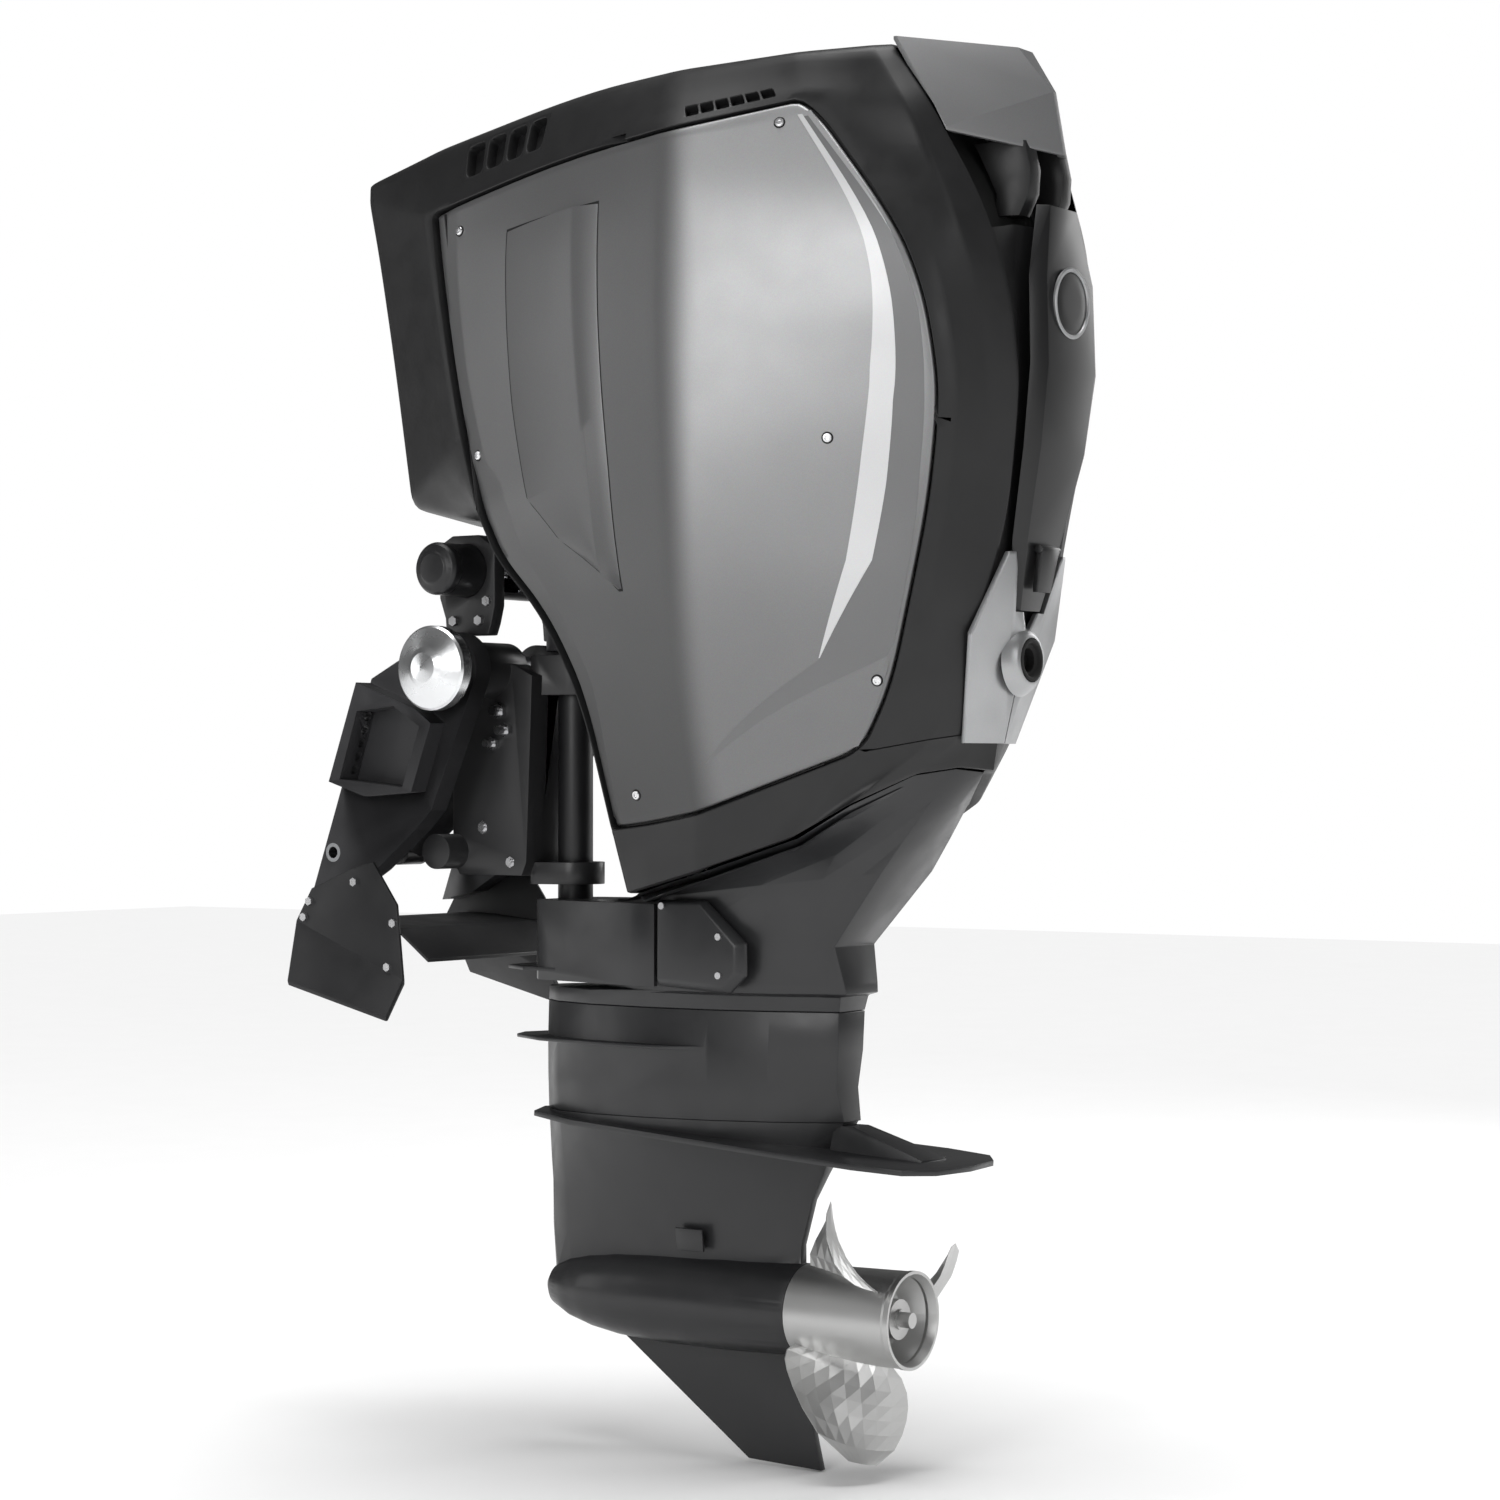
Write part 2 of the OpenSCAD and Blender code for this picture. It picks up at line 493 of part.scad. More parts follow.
plate_t = 7;
strut_rings = [leg_ring(-192, -600, 26, 8, shaft_z + 20, shaft_z + 20),
    leg_ring(-187, -601, 32, 6, shaft_z + 84, shaft_z + 84),
    leg_ring(-187, -618, 42, 6, shaft_z + 144, shaft_z + 144),
    leg_ring(-187, -636, 56, 8, plate_z - 29, plate_z - 29),
    leg_ring(-187, -674, 78, 18, leg_z, leg_z + 6)];
plate_tilt = atan2(41, 708);
bullet = [[0, 0], [14, 4], [28, 16], [42, 46], [52, 84], [59, 130], [63, 190], [63.5, 300], [60.3, 424], [0, 424]];
gear_room = drive_y - 54;           // aft end of the gear chamber
prop_shaft_nose = drive_y + 84;     // front end of the propeller shaft
module gearcase() color("#333438") difference() {
    union() {
        loft(strut_rings);
        translate([0, -183, shaft_z]) rotate([90, 0, 0]) rotate_extrude($fn = 96) polygon(bullet);
        // anti-ventilation plate
        translate([0, -172, leg_z]) rotate([plate_tilt, 0, 0]) translate([0, 0, -plate_t])
            linear_extrude(plate_t) polygon([[0, 0], [52, -22], [86, -110], [100, -300], [112, -470],
                [118, -580], [108, -648], [70, -676], [0, -684], [-70, -676], [-108, -648], [-118, -580],
                [-112, -470], [-100, -300], [-86, -110], [-52, -22]]);
        // raised shoulder behind the leg
        hull() {
            translate([-18, -690, leg_z - 20]) cube([36, 30, 22]);
            translate([-30, -800, plate_z - 4]) cube([60, 140, 6]);
        }
        // skeg
        across(-5, 5) polygon([[-302, shaft_z - 50], [-517, shaft_z - 203], [-631, shaft_z - 207],
            [-612, shaft_z - 130], [-598, shaft_z - 50]]);
    }
    translate([0, drive_y, 0]) tube_z(drive_r + 6, shaft_z, leg_z + 20);
    translate([0, drive_y, 0]) tube_z(pinion_r + gear_module + 2, shaft_z, shaft_z + gear_r + 3);
    translate([0, 0, shaft_z]) tube_y(gear_r + 4, gear_room, drive_y + 54);
    translate([0, 0, shaft_z]) tube_y(45, -620, gear_room + 1);
    translate([0, 0, shaft_z]) tube_y(prop_shaft_r + run_gap, drive_y, prop_shaft_nose + 4);
    translate([-7, -560, shaft_z + 30]) cube([14, 50, leg_z + 40 - shaft_z]);
}

module water_inlet_covers() color("#2a2b2d") both_sides()
    translate([34, -448, shaft_z + 84]) rotate([0, 0, 2]) rotate([0, 7, 0]) across(6, 10)
        polygon([[-22, -14], [22, -14], [22, 16], [-22, 16]]);

module bearing_carrier() color("#6c6f73") translate([0, 0, shaft_z]) difference() {
    union() {
        tube_y(44.9, -606, -596);
        tube_y(30, -597, gear_room - 10);
        tube_y(44.9, gear_room - 18, gear_room - 4);
    }
    tube_y(prop_shaft_r + run_gap, -607, gear_room);
}

// ================= cowl =================
module lower_cowl() color("#2a2a2c") {
    tops = [for (p = inset(skin[1], 0, -seam_gap)) p];
    shell([skin[0], tops], [inset(skin[0], cowl_wall + 3), inset(tops, cowl_wall + 3)], false);
}

module upper_cowl() color("#2b2b2d") difference() {
    outer = concat([skin[1]], [for (j = [2:11]) dipped(j)]);
    lift = [0, 0, 0, 0, 2, cowl_wall, cowl_wall, 0, 0, -2, -cowl_wall, -cowl_wall];
    shell(outer, [for (j = [1:11]) inset(dipped(j), cowl_wall + (j > 9 ? 6 : 2), lift[j])]);
    // opening for the upper yoke
    translate([-70, -400, 22]) cube([140, 160, 80]);
}

// Corners of the cap on one side: half width, y, z
cap_corners = [[160, -844, 764], [147, -908, 648], [26, -975, 648], [18, -934, 764], [4, -976, 706], [4, -990, 630],
    [4, -826, 772]];
module cap_hull(corners, t) hull() for (p = corners)
    translate([-p[0] * wide, p[1], p[2] - t]) cube([2 * p[0] * wide, t, t]);
module top_cap() color("#6f7173") difference() {
    cap_hull(cap_corners, 4);
    cap_hull([for (p = cap_corners) [p[0] * 0.94, p[1] + 10, p[2] - 10]], 4);
    loft([inset(skin[8], -1, 0), inset(skin[9], -1, 0), inset(skin[10], -1, 1), inset(skin[11], -1, 1)]);
}

// Part of the skin between two lines and the panel's columns, raised by h
function side_grid(h_edge, h_mid) = [for (j = [first_panel:last_panel]) [for (c = panel_cols)
    let (inner = j > first_panel && j < last_panel && (c == 3 || c == 4))
    skin[j][c] - plan_normal(skin[j], c) * (inner ? h_mid : h_edge)]];
module side_panel() patch(side_grid(panel_gap + panel_t / 2, 0),
    side_grid(panel_gap, -panel_t));
module side_panel_port() color("#8f9194") side_panel();
module side_panel_starboard() color("#8f9194") mirror([1, 0, 0]) side_panel();

module vent_door() patch(
    [for (j = [4:8]) [for (t = [0.25, 0.5, 0.72]) lerp(skin[j][3], skin[j][4], t) - [panel_gap + 7, 0, 0]]],
    [for (j = [4:8]) [for (t = [0.25, 0.5, 0.72]) lerp(skin[j][3], skin[j][4], t) - [panel_gap, 0, 0]]]);
module vent_door_port() color("#77797c") vent_door();
module vent_door_starboard() color("#77797c") mirror([1, 0, 0]) vent_door();

// Where each screw sits on the panel (x, y, z), and how its axis leans there (from Z, then round Z)
screw_places = [[235.8, -722, 660, 78.1, -15.3], [216.3, -197, 576, 86, 9.9], [233.6, -240, 276, 92.2, 12.1],
    [228.4, -784, 268, 93.2, -20.1], [176.4, -825, -27, 99.4, -20.4], [203.9, -478, -169, 101.5, 5.1]];
screw_r = 6;
screw_head = 3;
module panel_screws() color("#c2c5c8") both_sides() for (p = screw_places)
    translate([p[0] * wide, p[1], p[2]]) rotate([0, p[3], p[4]]) translate([0, 0, 0.1])
        cylinder(r = screw_r, h = screw_head, $fn = 32);

// Half width, y and z of the rear panel's rows
rear_rows = [[33, -941, 61], [58, -962, 150], [76, -988, 260], [82, -1001, 360], [80, -998, 470], [46, -989, 560]];
rear_t = 9;
rear_flat = 0.72;                   // share of the half width that faces straight aft
rear_chamfer = 12;
// rows of the panel, d in from its outer face, with the side edges set forward by a chamfer
function rear_grid(d, chamfer) = [for (r = rear_rows) [for (s = [-1, -rear_flat, 0, rear_flat, 1])
    [s * r[0] * wide, r[1] + d + (abs(s) == 1 ? chamfer : 0), r[2]]]];
module rear_panel() color("#1c1c1e") patch(rear_grid(0, rear_chamfer), rear_grid(rear_t, rear_chamfer / 3));

latch_pin_r = 5;
module rear_badge() color("#3a3b3d") translate([0, -1000, 441]) rotate([-1.6, 0, 0]) tube_y(44, -4, -0.4);

bezel_corners = [[1, -904, -104], [60, -884, -104], [101, -918, 28], [68, -952, 128], [58, -955, 128], [1, -936, 28]];
module rear_bezel() difference() {
    hull() for (p = bezel_corners) translate(p) cube([2, 6, 4]);
    tube_y(flush_r + 0.3, -980, -860);
    // clear of the cowl and of the rear panel
    loft([for (j = [0:5]) inset(skin[j], -1)]);
    hull() for (p = rear_rows) translate([-p[0] * wide - 2, p[1] - 4, p[2] - 2]) cube([2 * p[0] * wide + 4, 40, 4]);
}
module rear_bezel_starboard() color("#b6b9bd") rear_bezel();
module rear_bezel_port() color("#b6b9bd") mirror([1, 0, 0]) rear_bezel();

flush_r = 27;
module flush_port() color("#161618") difference() {
    tube_y(flush_r, -945, -926);
    tube_y(15, -946, -931);
}
module latch_handle() color("#1d1d1f") {
    hull() {
        translate([-20, -971, 134]) cube([40, 8, 6]);
        translate([-16, -961, 84]) cube([32, 7, 8]);
    }
    translate([0, -966, 137]) tube_x(latch_pin_r, -24, 24);
}

// ================= power head =================
bank_angle = 37;
bank_half = 56;
block_low = -20;
block_front = 72;                   // crankcase front wall, ahead of the crankshaft axis
block_top = 560;
crank_room = 62;                    // radius of the crankcase
bore_r = 46;
bore_first = 138;
bore_step = 152;
module engine_block() color("#7d8084") difference() {
    union() {
        translate([-100, drive_y - 130, block_low]) cube([200, 130 + block_front, block_top - block_low]);
        both_sides() translate([0, drive_y, block_low + 60]) rotate([0, 0, bank_angle])
            translate([-bank_half, -250, 0]) cube([2 * bank_half, 200, block_top - block_low - 120]);
    }
    translate([0, drive_y, 0]) tube_z(crank_room, block_low - 1, block_top + 1);
    // three cylinders in each bank
    both_sides() for (k = [0:2]) translate([0, drive_y, block_low + bore_first + k * bore_step])
        rotate([0, 0, bank_angle]) tube_y(bore_r, -251, -crank_room + 10);
}
module cylinder_heads() color("#63666a") both_sides() translate([0, drive_y, block_low + 66])
    rotate([0, 0, bank_angle]) translate([-bank_half + 2, -303, 0])
        cube([2 * bank_half - 4, 52, block_top - block_low - 132]);
module intake_manifold() color("#3b3d40") translate([-64, drive_y + block_front + 1, 230]) difference() {
    cube([128, 130, 300]);
    translate([6, 6, 6]) cube([116, 118, 288]);
}
module flywheel_cover() color("#202022") translate([0, drive_y, block_top + 8]) difference() {
    tube_z(142, 0, 84);
    tube_z(136, -1, 79);
}
main_gap = crank_room - 0.5;
module crankshaft() color("#8c9093") translate([0, drive_y, 0]) {
    tube_z(drive_r + 8, block_low + 4, block_top + 30);
    for (z = [block_low + 80:120:block_top - 90]) translate([0, 0, z]) tube_z(main_gap, 0, 52);
}
module flywheel() color("#75787c") translate([0, drive_y, block_top + 30]) {
    tube_z(128, 0, 34);
    tube_z(40, 33, 50);
}

// ================= drive train =================
pinion_r = gear_module * pinion_teeth / 2;
gear_r = gear_module * gear_teeth / 2;
face = 14;
module drive_shaft() color("#a9acb0") translate([0, drive_y, 0])
    tube_z(drive_r, shaft_z + gear_r - face + 1.5, block_low + 4);

tooth_share = 0.34;                 // share of the pitch that a tooth fills at the pitch line
function tooth_ring(n, low, high) = [for (k = [0:n - 1]) for (s = [[-0.62, low], [-0.34, high], [0.34, high], [0.62, low]])
    [(k + s[0] * tooth_share) * 360 / n, s[1]]];
module pinion() color("#9da0a4") translate([0, drive_y, shaft_z + gear_r - face]) difference() {
    linear_extrude(face, scale = gear_r / (gear_r - face)) scale((gear_r - face) / gear_r)
        polygon([for (p = tooth_ring(pinion_teeth, pinion_r - gear_module, pinion_r + gear_module * 0.8))
            p[1] * [sin(p[0]), cos(p[0])]]);
    tube_z(drive_r + seat, -1, face + 1);
}

// Crown of bevel teeth round +Z, apex at the origin, teeth facing it
module crown(n, phase) {
    prof = tooth_ring(n, pinion_r + gear_module * 1.15, pinion_r - gear_module * 0.8);
    k = len(prof);
    ro = gear_r + 2;
    ri = gear_r - face;
    back = pinion_r + gear_module * 1.15 + 6;
    function spot(r, p) = [r * sin(p[0] + phase), r * cos(p[0] + phase), p[1] * r / gear_r];
    function base(r, p) = [r * sin(p[0] + phase), r * cos(p[0] + phase), back];
    pts = concat([for (p = prof) spot(ro, p)], [for (p = prof) spot(ri, p)],
        [for (p = prof) base(ro, p)], [for (p = prof) base(ri, p)]);
    faces = [for (i = [0:k - 1]) let (j = (i + 1) % k)
        each [[i, j, j + k], [i, j + k, i + k], [j, i, i + 2 * k], [j, i + 2 * k, j + 2 * k],
            [i + k, j + k, j + 3 * k], [i + k, j + 3 * k, i + 3 * k],
            [j + 2 * k, i + 2 * k, i + 3 * k], [j + 2 * k, i + 3 * k, j + 3 * k]]];
    mesh(pts, faces);
}
module bevel_gear(phase) difference() {
    union() {
        crown(gear_teeth, phase);
        tube_z(gear_r - face + 1, pinion_r + 3, pinion_r + 14);
        tube_z(24, pinion_r + 12, pinion_r + 26);
    }
    tube_z(prop_shaft_r + run_gap, 0, 80);
}
gear_step = 180 / gear_teeth;
module forward_gear() color("#94979b") translate([0, drive_y, shaft_z]) rotate([-90, 0, 0])
    bevel_gear(gear_step);
module reverse_gear() color("#94979b") translate([0, drive_y, shaft_z]) rotate([90, 0, 0])
    bevel_gear(0);

dog_half = 9;
module clutch_dog() color("#b0b3b6") translate([0, drive_y, shaft_z]) difference() {
    tube_y(20, -dog_half, dog_half);
    tube_y(prop_shaft_r + run_gap, -20, 20);
}

module prop_shaft() color("#b8bbbf") translate([0, 0, shaft_z]) {
    tube_y(prop_shaft_r, -752, prop_shaft_nose);
    tube_y(prop_shaft_r - 3, -768, -751);
}

pump_z = leg_z + 20;
module water_pump_housing() color("#3f4144") translate([0, drive_y, pump_z]) difference() {
    tube_z(46, 0, 40);
    tube_z(39, 4, 36);
    tube_z(drive_r + 2, -1, 41);
}
module impeller() color("#1b1b1d") translate([0, drive_y, pump_z + 6]) difference() {
    union() {
        tube_z(22, 0, 26);
        for (k = [0:5]) rotate([0, 0, 60 * k]) translate([-2, 20, 0]) cube([4, 17, 26]);
    }
    tube_z(drive_r + seat, -1, 27);
}

// ================= propeller =================
blade_rows = 7;
blade_cols = 8;
blade_pitch = 560;                  // advance in one turn, at the tip
root_pitch = 600;                   // added at the root, where the blade runs nearly fore and aft
blade_turn = -32;                   // where the first blade stands
// Chord angle and radius: a rounded leading edge and a fuller trailing side
function chord(t) = 58 * pow(sin(180 * pow(0.12 + 0.86 * t, 0.9)), 0.55);
function blade_point(t, s, side) = let (
        r = lerp(hub_d / 2 - 8, prop_d / 2, t),
        a = (s - 0.42) * chord(t) - 14 * t,
        lift = side * (5.5 - 4 * t) * (0.25 + 0.75 * sin(180 * s)) / 2)
    [r * sin(a), a / 360 * (blade_pitch + root_pitch * pow(1 - t, 2)) + lift - 14 * t, r * cos(a)];
module blade() {
    top = [for (i = [0:blade_rows]) [for (k = [0:blade_cols]) blade_point(i / blade_rows, k / blade_cols, 1)]];
    low = [for (i = [0:blade_rows]) [for (k = [0:blade_cols]) blade_point(i / blade_rows, k / blade_cols, -1)]];
    patch(low, top);
}
module propeller() color("#c6c9cc") {
    mid = (hub_front + hub_rear) / 2;
    difference() {
        union() {
            translate([0, mid, shaft_z]) for (k = [0:blades - 1]) rotate([0, 360 / blades * k + blade_turn, 0])
                blade();
            translate([0, hub_front, shaft_z]) rotate([90, 0, 0]) rotate_extrude($fn = 96)
                polygon([[52, 0], [60.3, 0], [hub_d / 2 - 1, 150], [hub_d / 2, 154], [hub_d / 2, 161],
                    [hub_d / 2 - 4, 161], [55, 150]]);
        }
        translate([0, 0, shaft_z]) tube_y(54.5, hub_rear + 12, hub_front - 2);
    }
    translate([0, 0, shaft_z]) difference() {
        union() {
            tube_y(26, hub_rear + 20, hub_front - 8);
            // dished web between the inner hub and the outer
            translate([0, hub_rear, 0]) rotate([-90, 0, 0]) rotate_extrude($fn = 96)
                polygon([[24, 62], [40, 44], [55.5, 14], [55.5, 22], [42, 50], [24, 70]]);
        }
        tube_y(prop_shaft_r + seat, hub_rear - 1, hub_front + 1);
    }
}

clamp_bracket_port();
clamp_bracket_starboard();
tilt_tube();
tilt_tube_caps();
lower_cross_tube();
guard_plate_port();
guard_plate_starboard();
cross_shield();
guard_bolts();
swivel_bracket();
steering_cylinder();
steering_cylinder_caps();
steering_support_arms();
support_arm_bolts();
hydraulic_fittings();
steering_ram();
tilt_cylinder();
tilt_rod();
king_pin();
steering_arm();
upper_yoke();
lower_yoke();
mount_cover_port();
mount_cover_starboard();
mount_cover_screws();
midsection();
extension_housing();
gearcase();
water_inlet_covers();
bearing_carrier();
lower_cowl();
upper_cowl();
top_cap();
side_panel_port();
side_panel_starboard();
vent_door_port();
vent_door_starboard();
panel_screws();
rear_panel();
rear_badge();
rear_bezel_port();
rear_bezel_starboard();
flush_port();
latch_handle();
upper_mounts();
engine_block();
cylinder_heads();
intake_manifold();
flywheel_cover();
crankshaft();
flywheel();
drive_shaft();
pinion();
water_pump_housing();
impeller();
forward_gear();
reverse_gear();
clutch_dog();
prop_shaft();
propeller();
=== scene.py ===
import json
import math

import bmesh
import bpy
import numpy as np
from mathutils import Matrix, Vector

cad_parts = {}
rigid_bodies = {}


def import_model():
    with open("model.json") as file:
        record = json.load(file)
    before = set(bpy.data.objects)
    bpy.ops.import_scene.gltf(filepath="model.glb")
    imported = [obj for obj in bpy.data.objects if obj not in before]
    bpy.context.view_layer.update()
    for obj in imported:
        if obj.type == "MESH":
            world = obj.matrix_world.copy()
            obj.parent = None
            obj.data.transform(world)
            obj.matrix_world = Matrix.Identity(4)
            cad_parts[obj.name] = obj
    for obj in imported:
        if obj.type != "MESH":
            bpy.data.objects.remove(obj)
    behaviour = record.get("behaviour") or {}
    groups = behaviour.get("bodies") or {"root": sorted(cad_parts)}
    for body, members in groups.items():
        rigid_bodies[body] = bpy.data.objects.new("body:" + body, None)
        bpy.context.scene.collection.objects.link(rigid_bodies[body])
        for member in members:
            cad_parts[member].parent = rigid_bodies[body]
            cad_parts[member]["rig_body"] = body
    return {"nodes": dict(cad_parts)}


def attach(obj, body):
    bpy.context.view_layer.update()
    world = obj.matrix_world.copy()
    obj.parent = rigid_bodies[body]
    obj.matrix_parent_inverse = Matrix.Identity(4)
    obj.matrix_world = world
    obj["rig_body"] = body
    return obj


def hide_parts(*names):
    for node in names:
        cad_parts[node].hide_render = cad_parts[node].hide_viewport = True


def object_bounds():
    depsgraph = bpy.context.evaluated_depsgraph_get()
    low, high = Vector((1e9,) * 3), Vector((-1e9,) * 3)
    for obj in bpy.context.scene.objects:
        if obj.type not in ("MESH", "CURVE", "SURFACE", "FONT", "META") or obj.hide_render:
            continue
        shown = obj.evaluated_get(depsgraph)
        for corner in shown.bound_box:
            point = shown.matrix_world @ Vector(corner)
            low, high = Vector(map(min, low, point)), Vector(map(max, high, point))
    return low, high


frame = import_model()
cad_lo, cad_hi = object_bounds()
nodes = frame["nodes"]
scene = bpy.context.scene
scene.view_settings.view_transform = "Standard"
MM = 0.001


# ---------------------------------------------------------------- materials
def material(name, rgb, rough, metal=0.0, coat=0.0, spec=0.5, mottle=0.08, mottle_scale=7.0, grain=0.02,
             grain_scale=900.0, vary=0.06, flake=0.0, stretch=(1, 1, 1), coat_rough=0.15, paint_gradient_and_shade=None):
    m = bpy.data.materials.new(name)
    m.use_nodes = True
    nt = m.node_tree
    bsdf = nt.nodes["Principled BSDF"]
    bsdf.inputs["Metallic"].default_value = metal
    bsdf.inputs["Coat Weight"].default_value = coat
    bsdf.inputs["Coat Roughness"].default_value = coat_rough
    bsdf.inputs["Specular IOR Level"].default_value = spec
    coord = nt.nodes.new("ShaderNodeTexCoord")
    mapping = nt.nodes.new("ShaderNodeMapping")
    mapping.inputs["Scale"].default_value = stretch
    nt.links.new(coord.outputs["Object"], mapping.inputs["Vector"])

    def noise(scale, detail=3.0):
        n = nt.nodes.new("ShaderNodeTexNoise")
        n.inputs["Scale"].default_value = scale
        n.inputs["Detail"].default_value = detail
        nt.links.new(mapping.outputs["Vector"], n.inputs["Vector"])
        return n.outputs["Fac"]

    def remap(value, lo, hi):
        r = nt.nodes.new("ShaderNodeMapRange")
        r.inputs["From Min"].default_value = 0.3
        r.inputs["From Max"].default_value = 0.7
        r.inputs["To Min"].default_value = lo
        r.inputs["To Max"].default_value = hi
        nt.links.new(value, r.inputs["Value"])
        return r.outputs["Result"]

    mix = nt.nodes.new("ShaderNodeMix")
    mix.data_type = "RGBA"
    mix.inputs["A"].default_value = [c * (1 - mottle) for c in rgb] + [1]
    mix.inputs["B"].default_value = [min(1, c * (1 + mottle)) for c in rgb] + [1]
    nt.links.new(remap(noise(mottle_scale), 0, 1), mix.inputs["Factor"])
    colour = mix.outputs["Result"]
    if flake:
        fine = nt.nodes.new("ShaderNodeTexVoronoi")
        fine.inputs["Scale"].default_value = 1400
        nt.links.new(coord.outputs["Object"], fine.inputs["Vector"])
        spark = nt.nodes.new("ShaderNodeMix")
        spark.data_type = "RGBA"
        spark.blend_type = "MULTIPLY"
        spark.inputs["Factor"].default_value = flake
        nt.links.new(colour, spark.inputs["A"])
        nt.links.new(fine.outputs["Color"], spark.inputs["B"])
        colour = spark.outputs["Result"]
    if paint_gradient_and_shade:
        # colour darker downwards, partly a paint gradient, with a different run each side of the panel's
        # ridge: the fore side, which faces away from the lamps, is painted darker as painted shade, and the
        # aft side is painted lighter as painted light
        axes = nt.nodes.new("ShaderNodeSeparateXYZ")
        nt.links.new(coord.outputs["Object"], axes.inputs["Vector"])

        def ramp(value, ends, lo, hi):
            r = nt.nodes.new("ShaderNodeMapRange")
            r.interpolation_type = "SMOOTHSTEP"
            r.inputs["From Min"].default_value, r.inputs["From Max"].default_value = ends
            for name, v in (("To Min", lo), ("To Max", hi)):
                if isinstance(v, float):
                    r.inputs[name].default_value = v
                else:
                    nt.links.new(v, r.inputs[name])
            nt.links.new(value, r.inputs["Value"])
            return r.outputs["Result"]

        fore = ramp(axes.outputs["Z"], (-0.25, 0.65), paint_gradient_and_shade[0], paint_gradient_and_shade[1])
        aft = ramp(axes.outputs["Z"], (-0.1, 0.7), paint_gradient_and_shade[2], paint_gradient_and_shade[3])
        share = ramp(axes.outputs["Y"], (-0.625, -0.575), aft, fore)
        scale = nt.nodes.new("ShaderNodeVectorMath")
        scale.operation = "SCALE"
        nt.links.new(colour, scale.inputs[0])
        nt.links.new(share, scale.inputs["Scale"])
        colour = scale.outputs["Vector"]
    nt.links.new(colour, bsdf.inputs["Base Color"])
    nt.links.new(remap(noise(mottle_scale * 3.3), rough - vary, rough + vary), bsdf.inputs["Roughness"])
    bump = nt.nodes.new("ShaderNodeBump")
    bump.inputs["Strength"].default_value = 1.0
    bump.inputs["Distance"].default_value = grain * MM
    nt.links.new(noise(grain_scale, 2.0), bump.inputs["Height"])
    nt.links.new(bump.outputs["Normal"], bsdf.inputs["Normal"])
    return m


MATS = {
    # bracket_black is the brackets' own black, made a little lighter than the cowl's black as painted light
    # that lifts them out of the shade they sit in
    "bracket_black": material("bracket_black", (0.034, 0.034, 0.036), 0.4, spec=0.4, grain=0.03),
    "guard_black": material("guard_black", (0.016, 0.016, 0.017), 0.45, spec=0.4, grain=0.03),
    "silver_cap": material("silver_cap", (0.78, 0.79, 0.8), 0.27, metal=1.0, grain=0.01, stretch=(1, 1, 1)),
    "tube_steel": material("tube_steel", (0.35, 0.36, 0.37), 0.35, metal=1.0),
    "bolt_steel": material("bolt_steel", (0.7, 0.7, 0.71), 0.28, metal=1.0),
    # swivel_black is likewise its own black, made a little lighter as painted light against the shade it sits
    # in
    "swivel_black": material("swivel_black", (0.024, 0.024, 0.025), 0.36, spec=0.45,
                             grain=0.04, grain_scale=500),
    "ram_black": material("ram_black", (0.011, 0.011, 0.012), 0.38, spec=0.45),
    "fitting_steel": material("fitting_steel", (0.62, 0.62, 0.63), 0.25, metal=1.0),
    "ram_chrome": material("ram_chrome", (0.7, 0.71, 0.73), 0.12, metal=1.0),
    "leg_paint": material("leg_paint", (0.021, 0.0212, 0.0225), 0.36, spec=0.45, coat=0.1, grain=0.02),
    "cowl_black": material("cowl_black", (0.012, 0.012, 0.0125), 0.42, spec=0.4, grain=0.04, grain_scale=700),
    "cap_grey": material("cap_grey", (0.2, 0.201, 0.204), 0.42, metal=0.35,
                         flake=0.12, mottle=0.02, vary=0.015),
    # the panel's colour ramp darkens it downwards and on the fore side of the ridge, and lightens it up to 1.5
    # times aft: painted shade and painted light over a paint gradient
    "panel_silver": material("panel_silver", (0.27, 0.271, 0.274), 0.42, metal=0.7, coat=0.1, flake=0.15,
                             mottle=0.015, vary=0.012, paint_gradient_and_shade=(0.3, 0.75, 0.72, 1.5)),
    "rear_black": material("rear_black", (0.009, 0.009, 0.0095), 0.34, spec=0.4, coat=0.1, vary=0.02),
    "bezel_silver": material("bezel_silver", (0.4, 0.404, 0.41), 0.38, metal=0.85, flake=0.1),
    "rubber_black": material("rubber_black", (0.012, 0.012, 0.012), 0.7, spec=0.3,
                             grain=0.08, grain_scale=400),
    "cast_grey": material("cast_grey", (0.25, 0.26, 0.27), 0.55, metal=0.6, grain=0.1, grain_scale=300),
    "prop_steel": material("prop_steel", (0.56, 0.56, 0.555), 0.4, metal=1.0, grain=0.02,
                           mottle=0.02, vary=0.02),
    "band_grey": material("band_grey", (0.17, 0.171, 0.173), 0.45, metal=0.4,
                          flake=0.1, mottle=0.02, vary=0.015),
    "band_bright": material("band_bright", (0.62, 0.622, 0.628), 0.42, metal=0.4,
                            flake=0.08, mottle=0.02, vary=0.015),
    "gear_steel": material("gear_steel", (0.5, 0.5, 0.5), 0.3, metal=1.0),
}


# ---------------------------------------------------------------- meshes
def make(name, verts, faces, slot, body, replaces=(), smooth=35):
    me = bpy.data.meshes.new(name)
    me.from_pydata([tuple(v) for v in verts], [], [tuple(f) for f in faces])
    me.validate()
    ob = bpy.data.objects.new(name, me)
    scene.collection.objects.link(ob)
    finish_mesh(ob, smooth)
    dress(ob, slot, body, replaces)
    return ob


def finish_mesh(ob, smooth=35):
    me = ob.data
    me.update()
    for p in me.polygons:
        p.use_smooth = True
    me.set_sharp_from_angle(angle=math.radians(smooth))


LOOK_SLOT = {"band_grey": "cap_grey", "band_bright": "bezel_silver"}     # finishes of their own within a slot


def dress(ob, slot, body, replaces=()):
    ob.data.materials.clear()
    ob.data.materials.append(MATS[slot])
    slot = LOOK_SLOT.get(slot, slot)
    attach(ob, body)
    if replaces:
        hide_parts(*replaces)


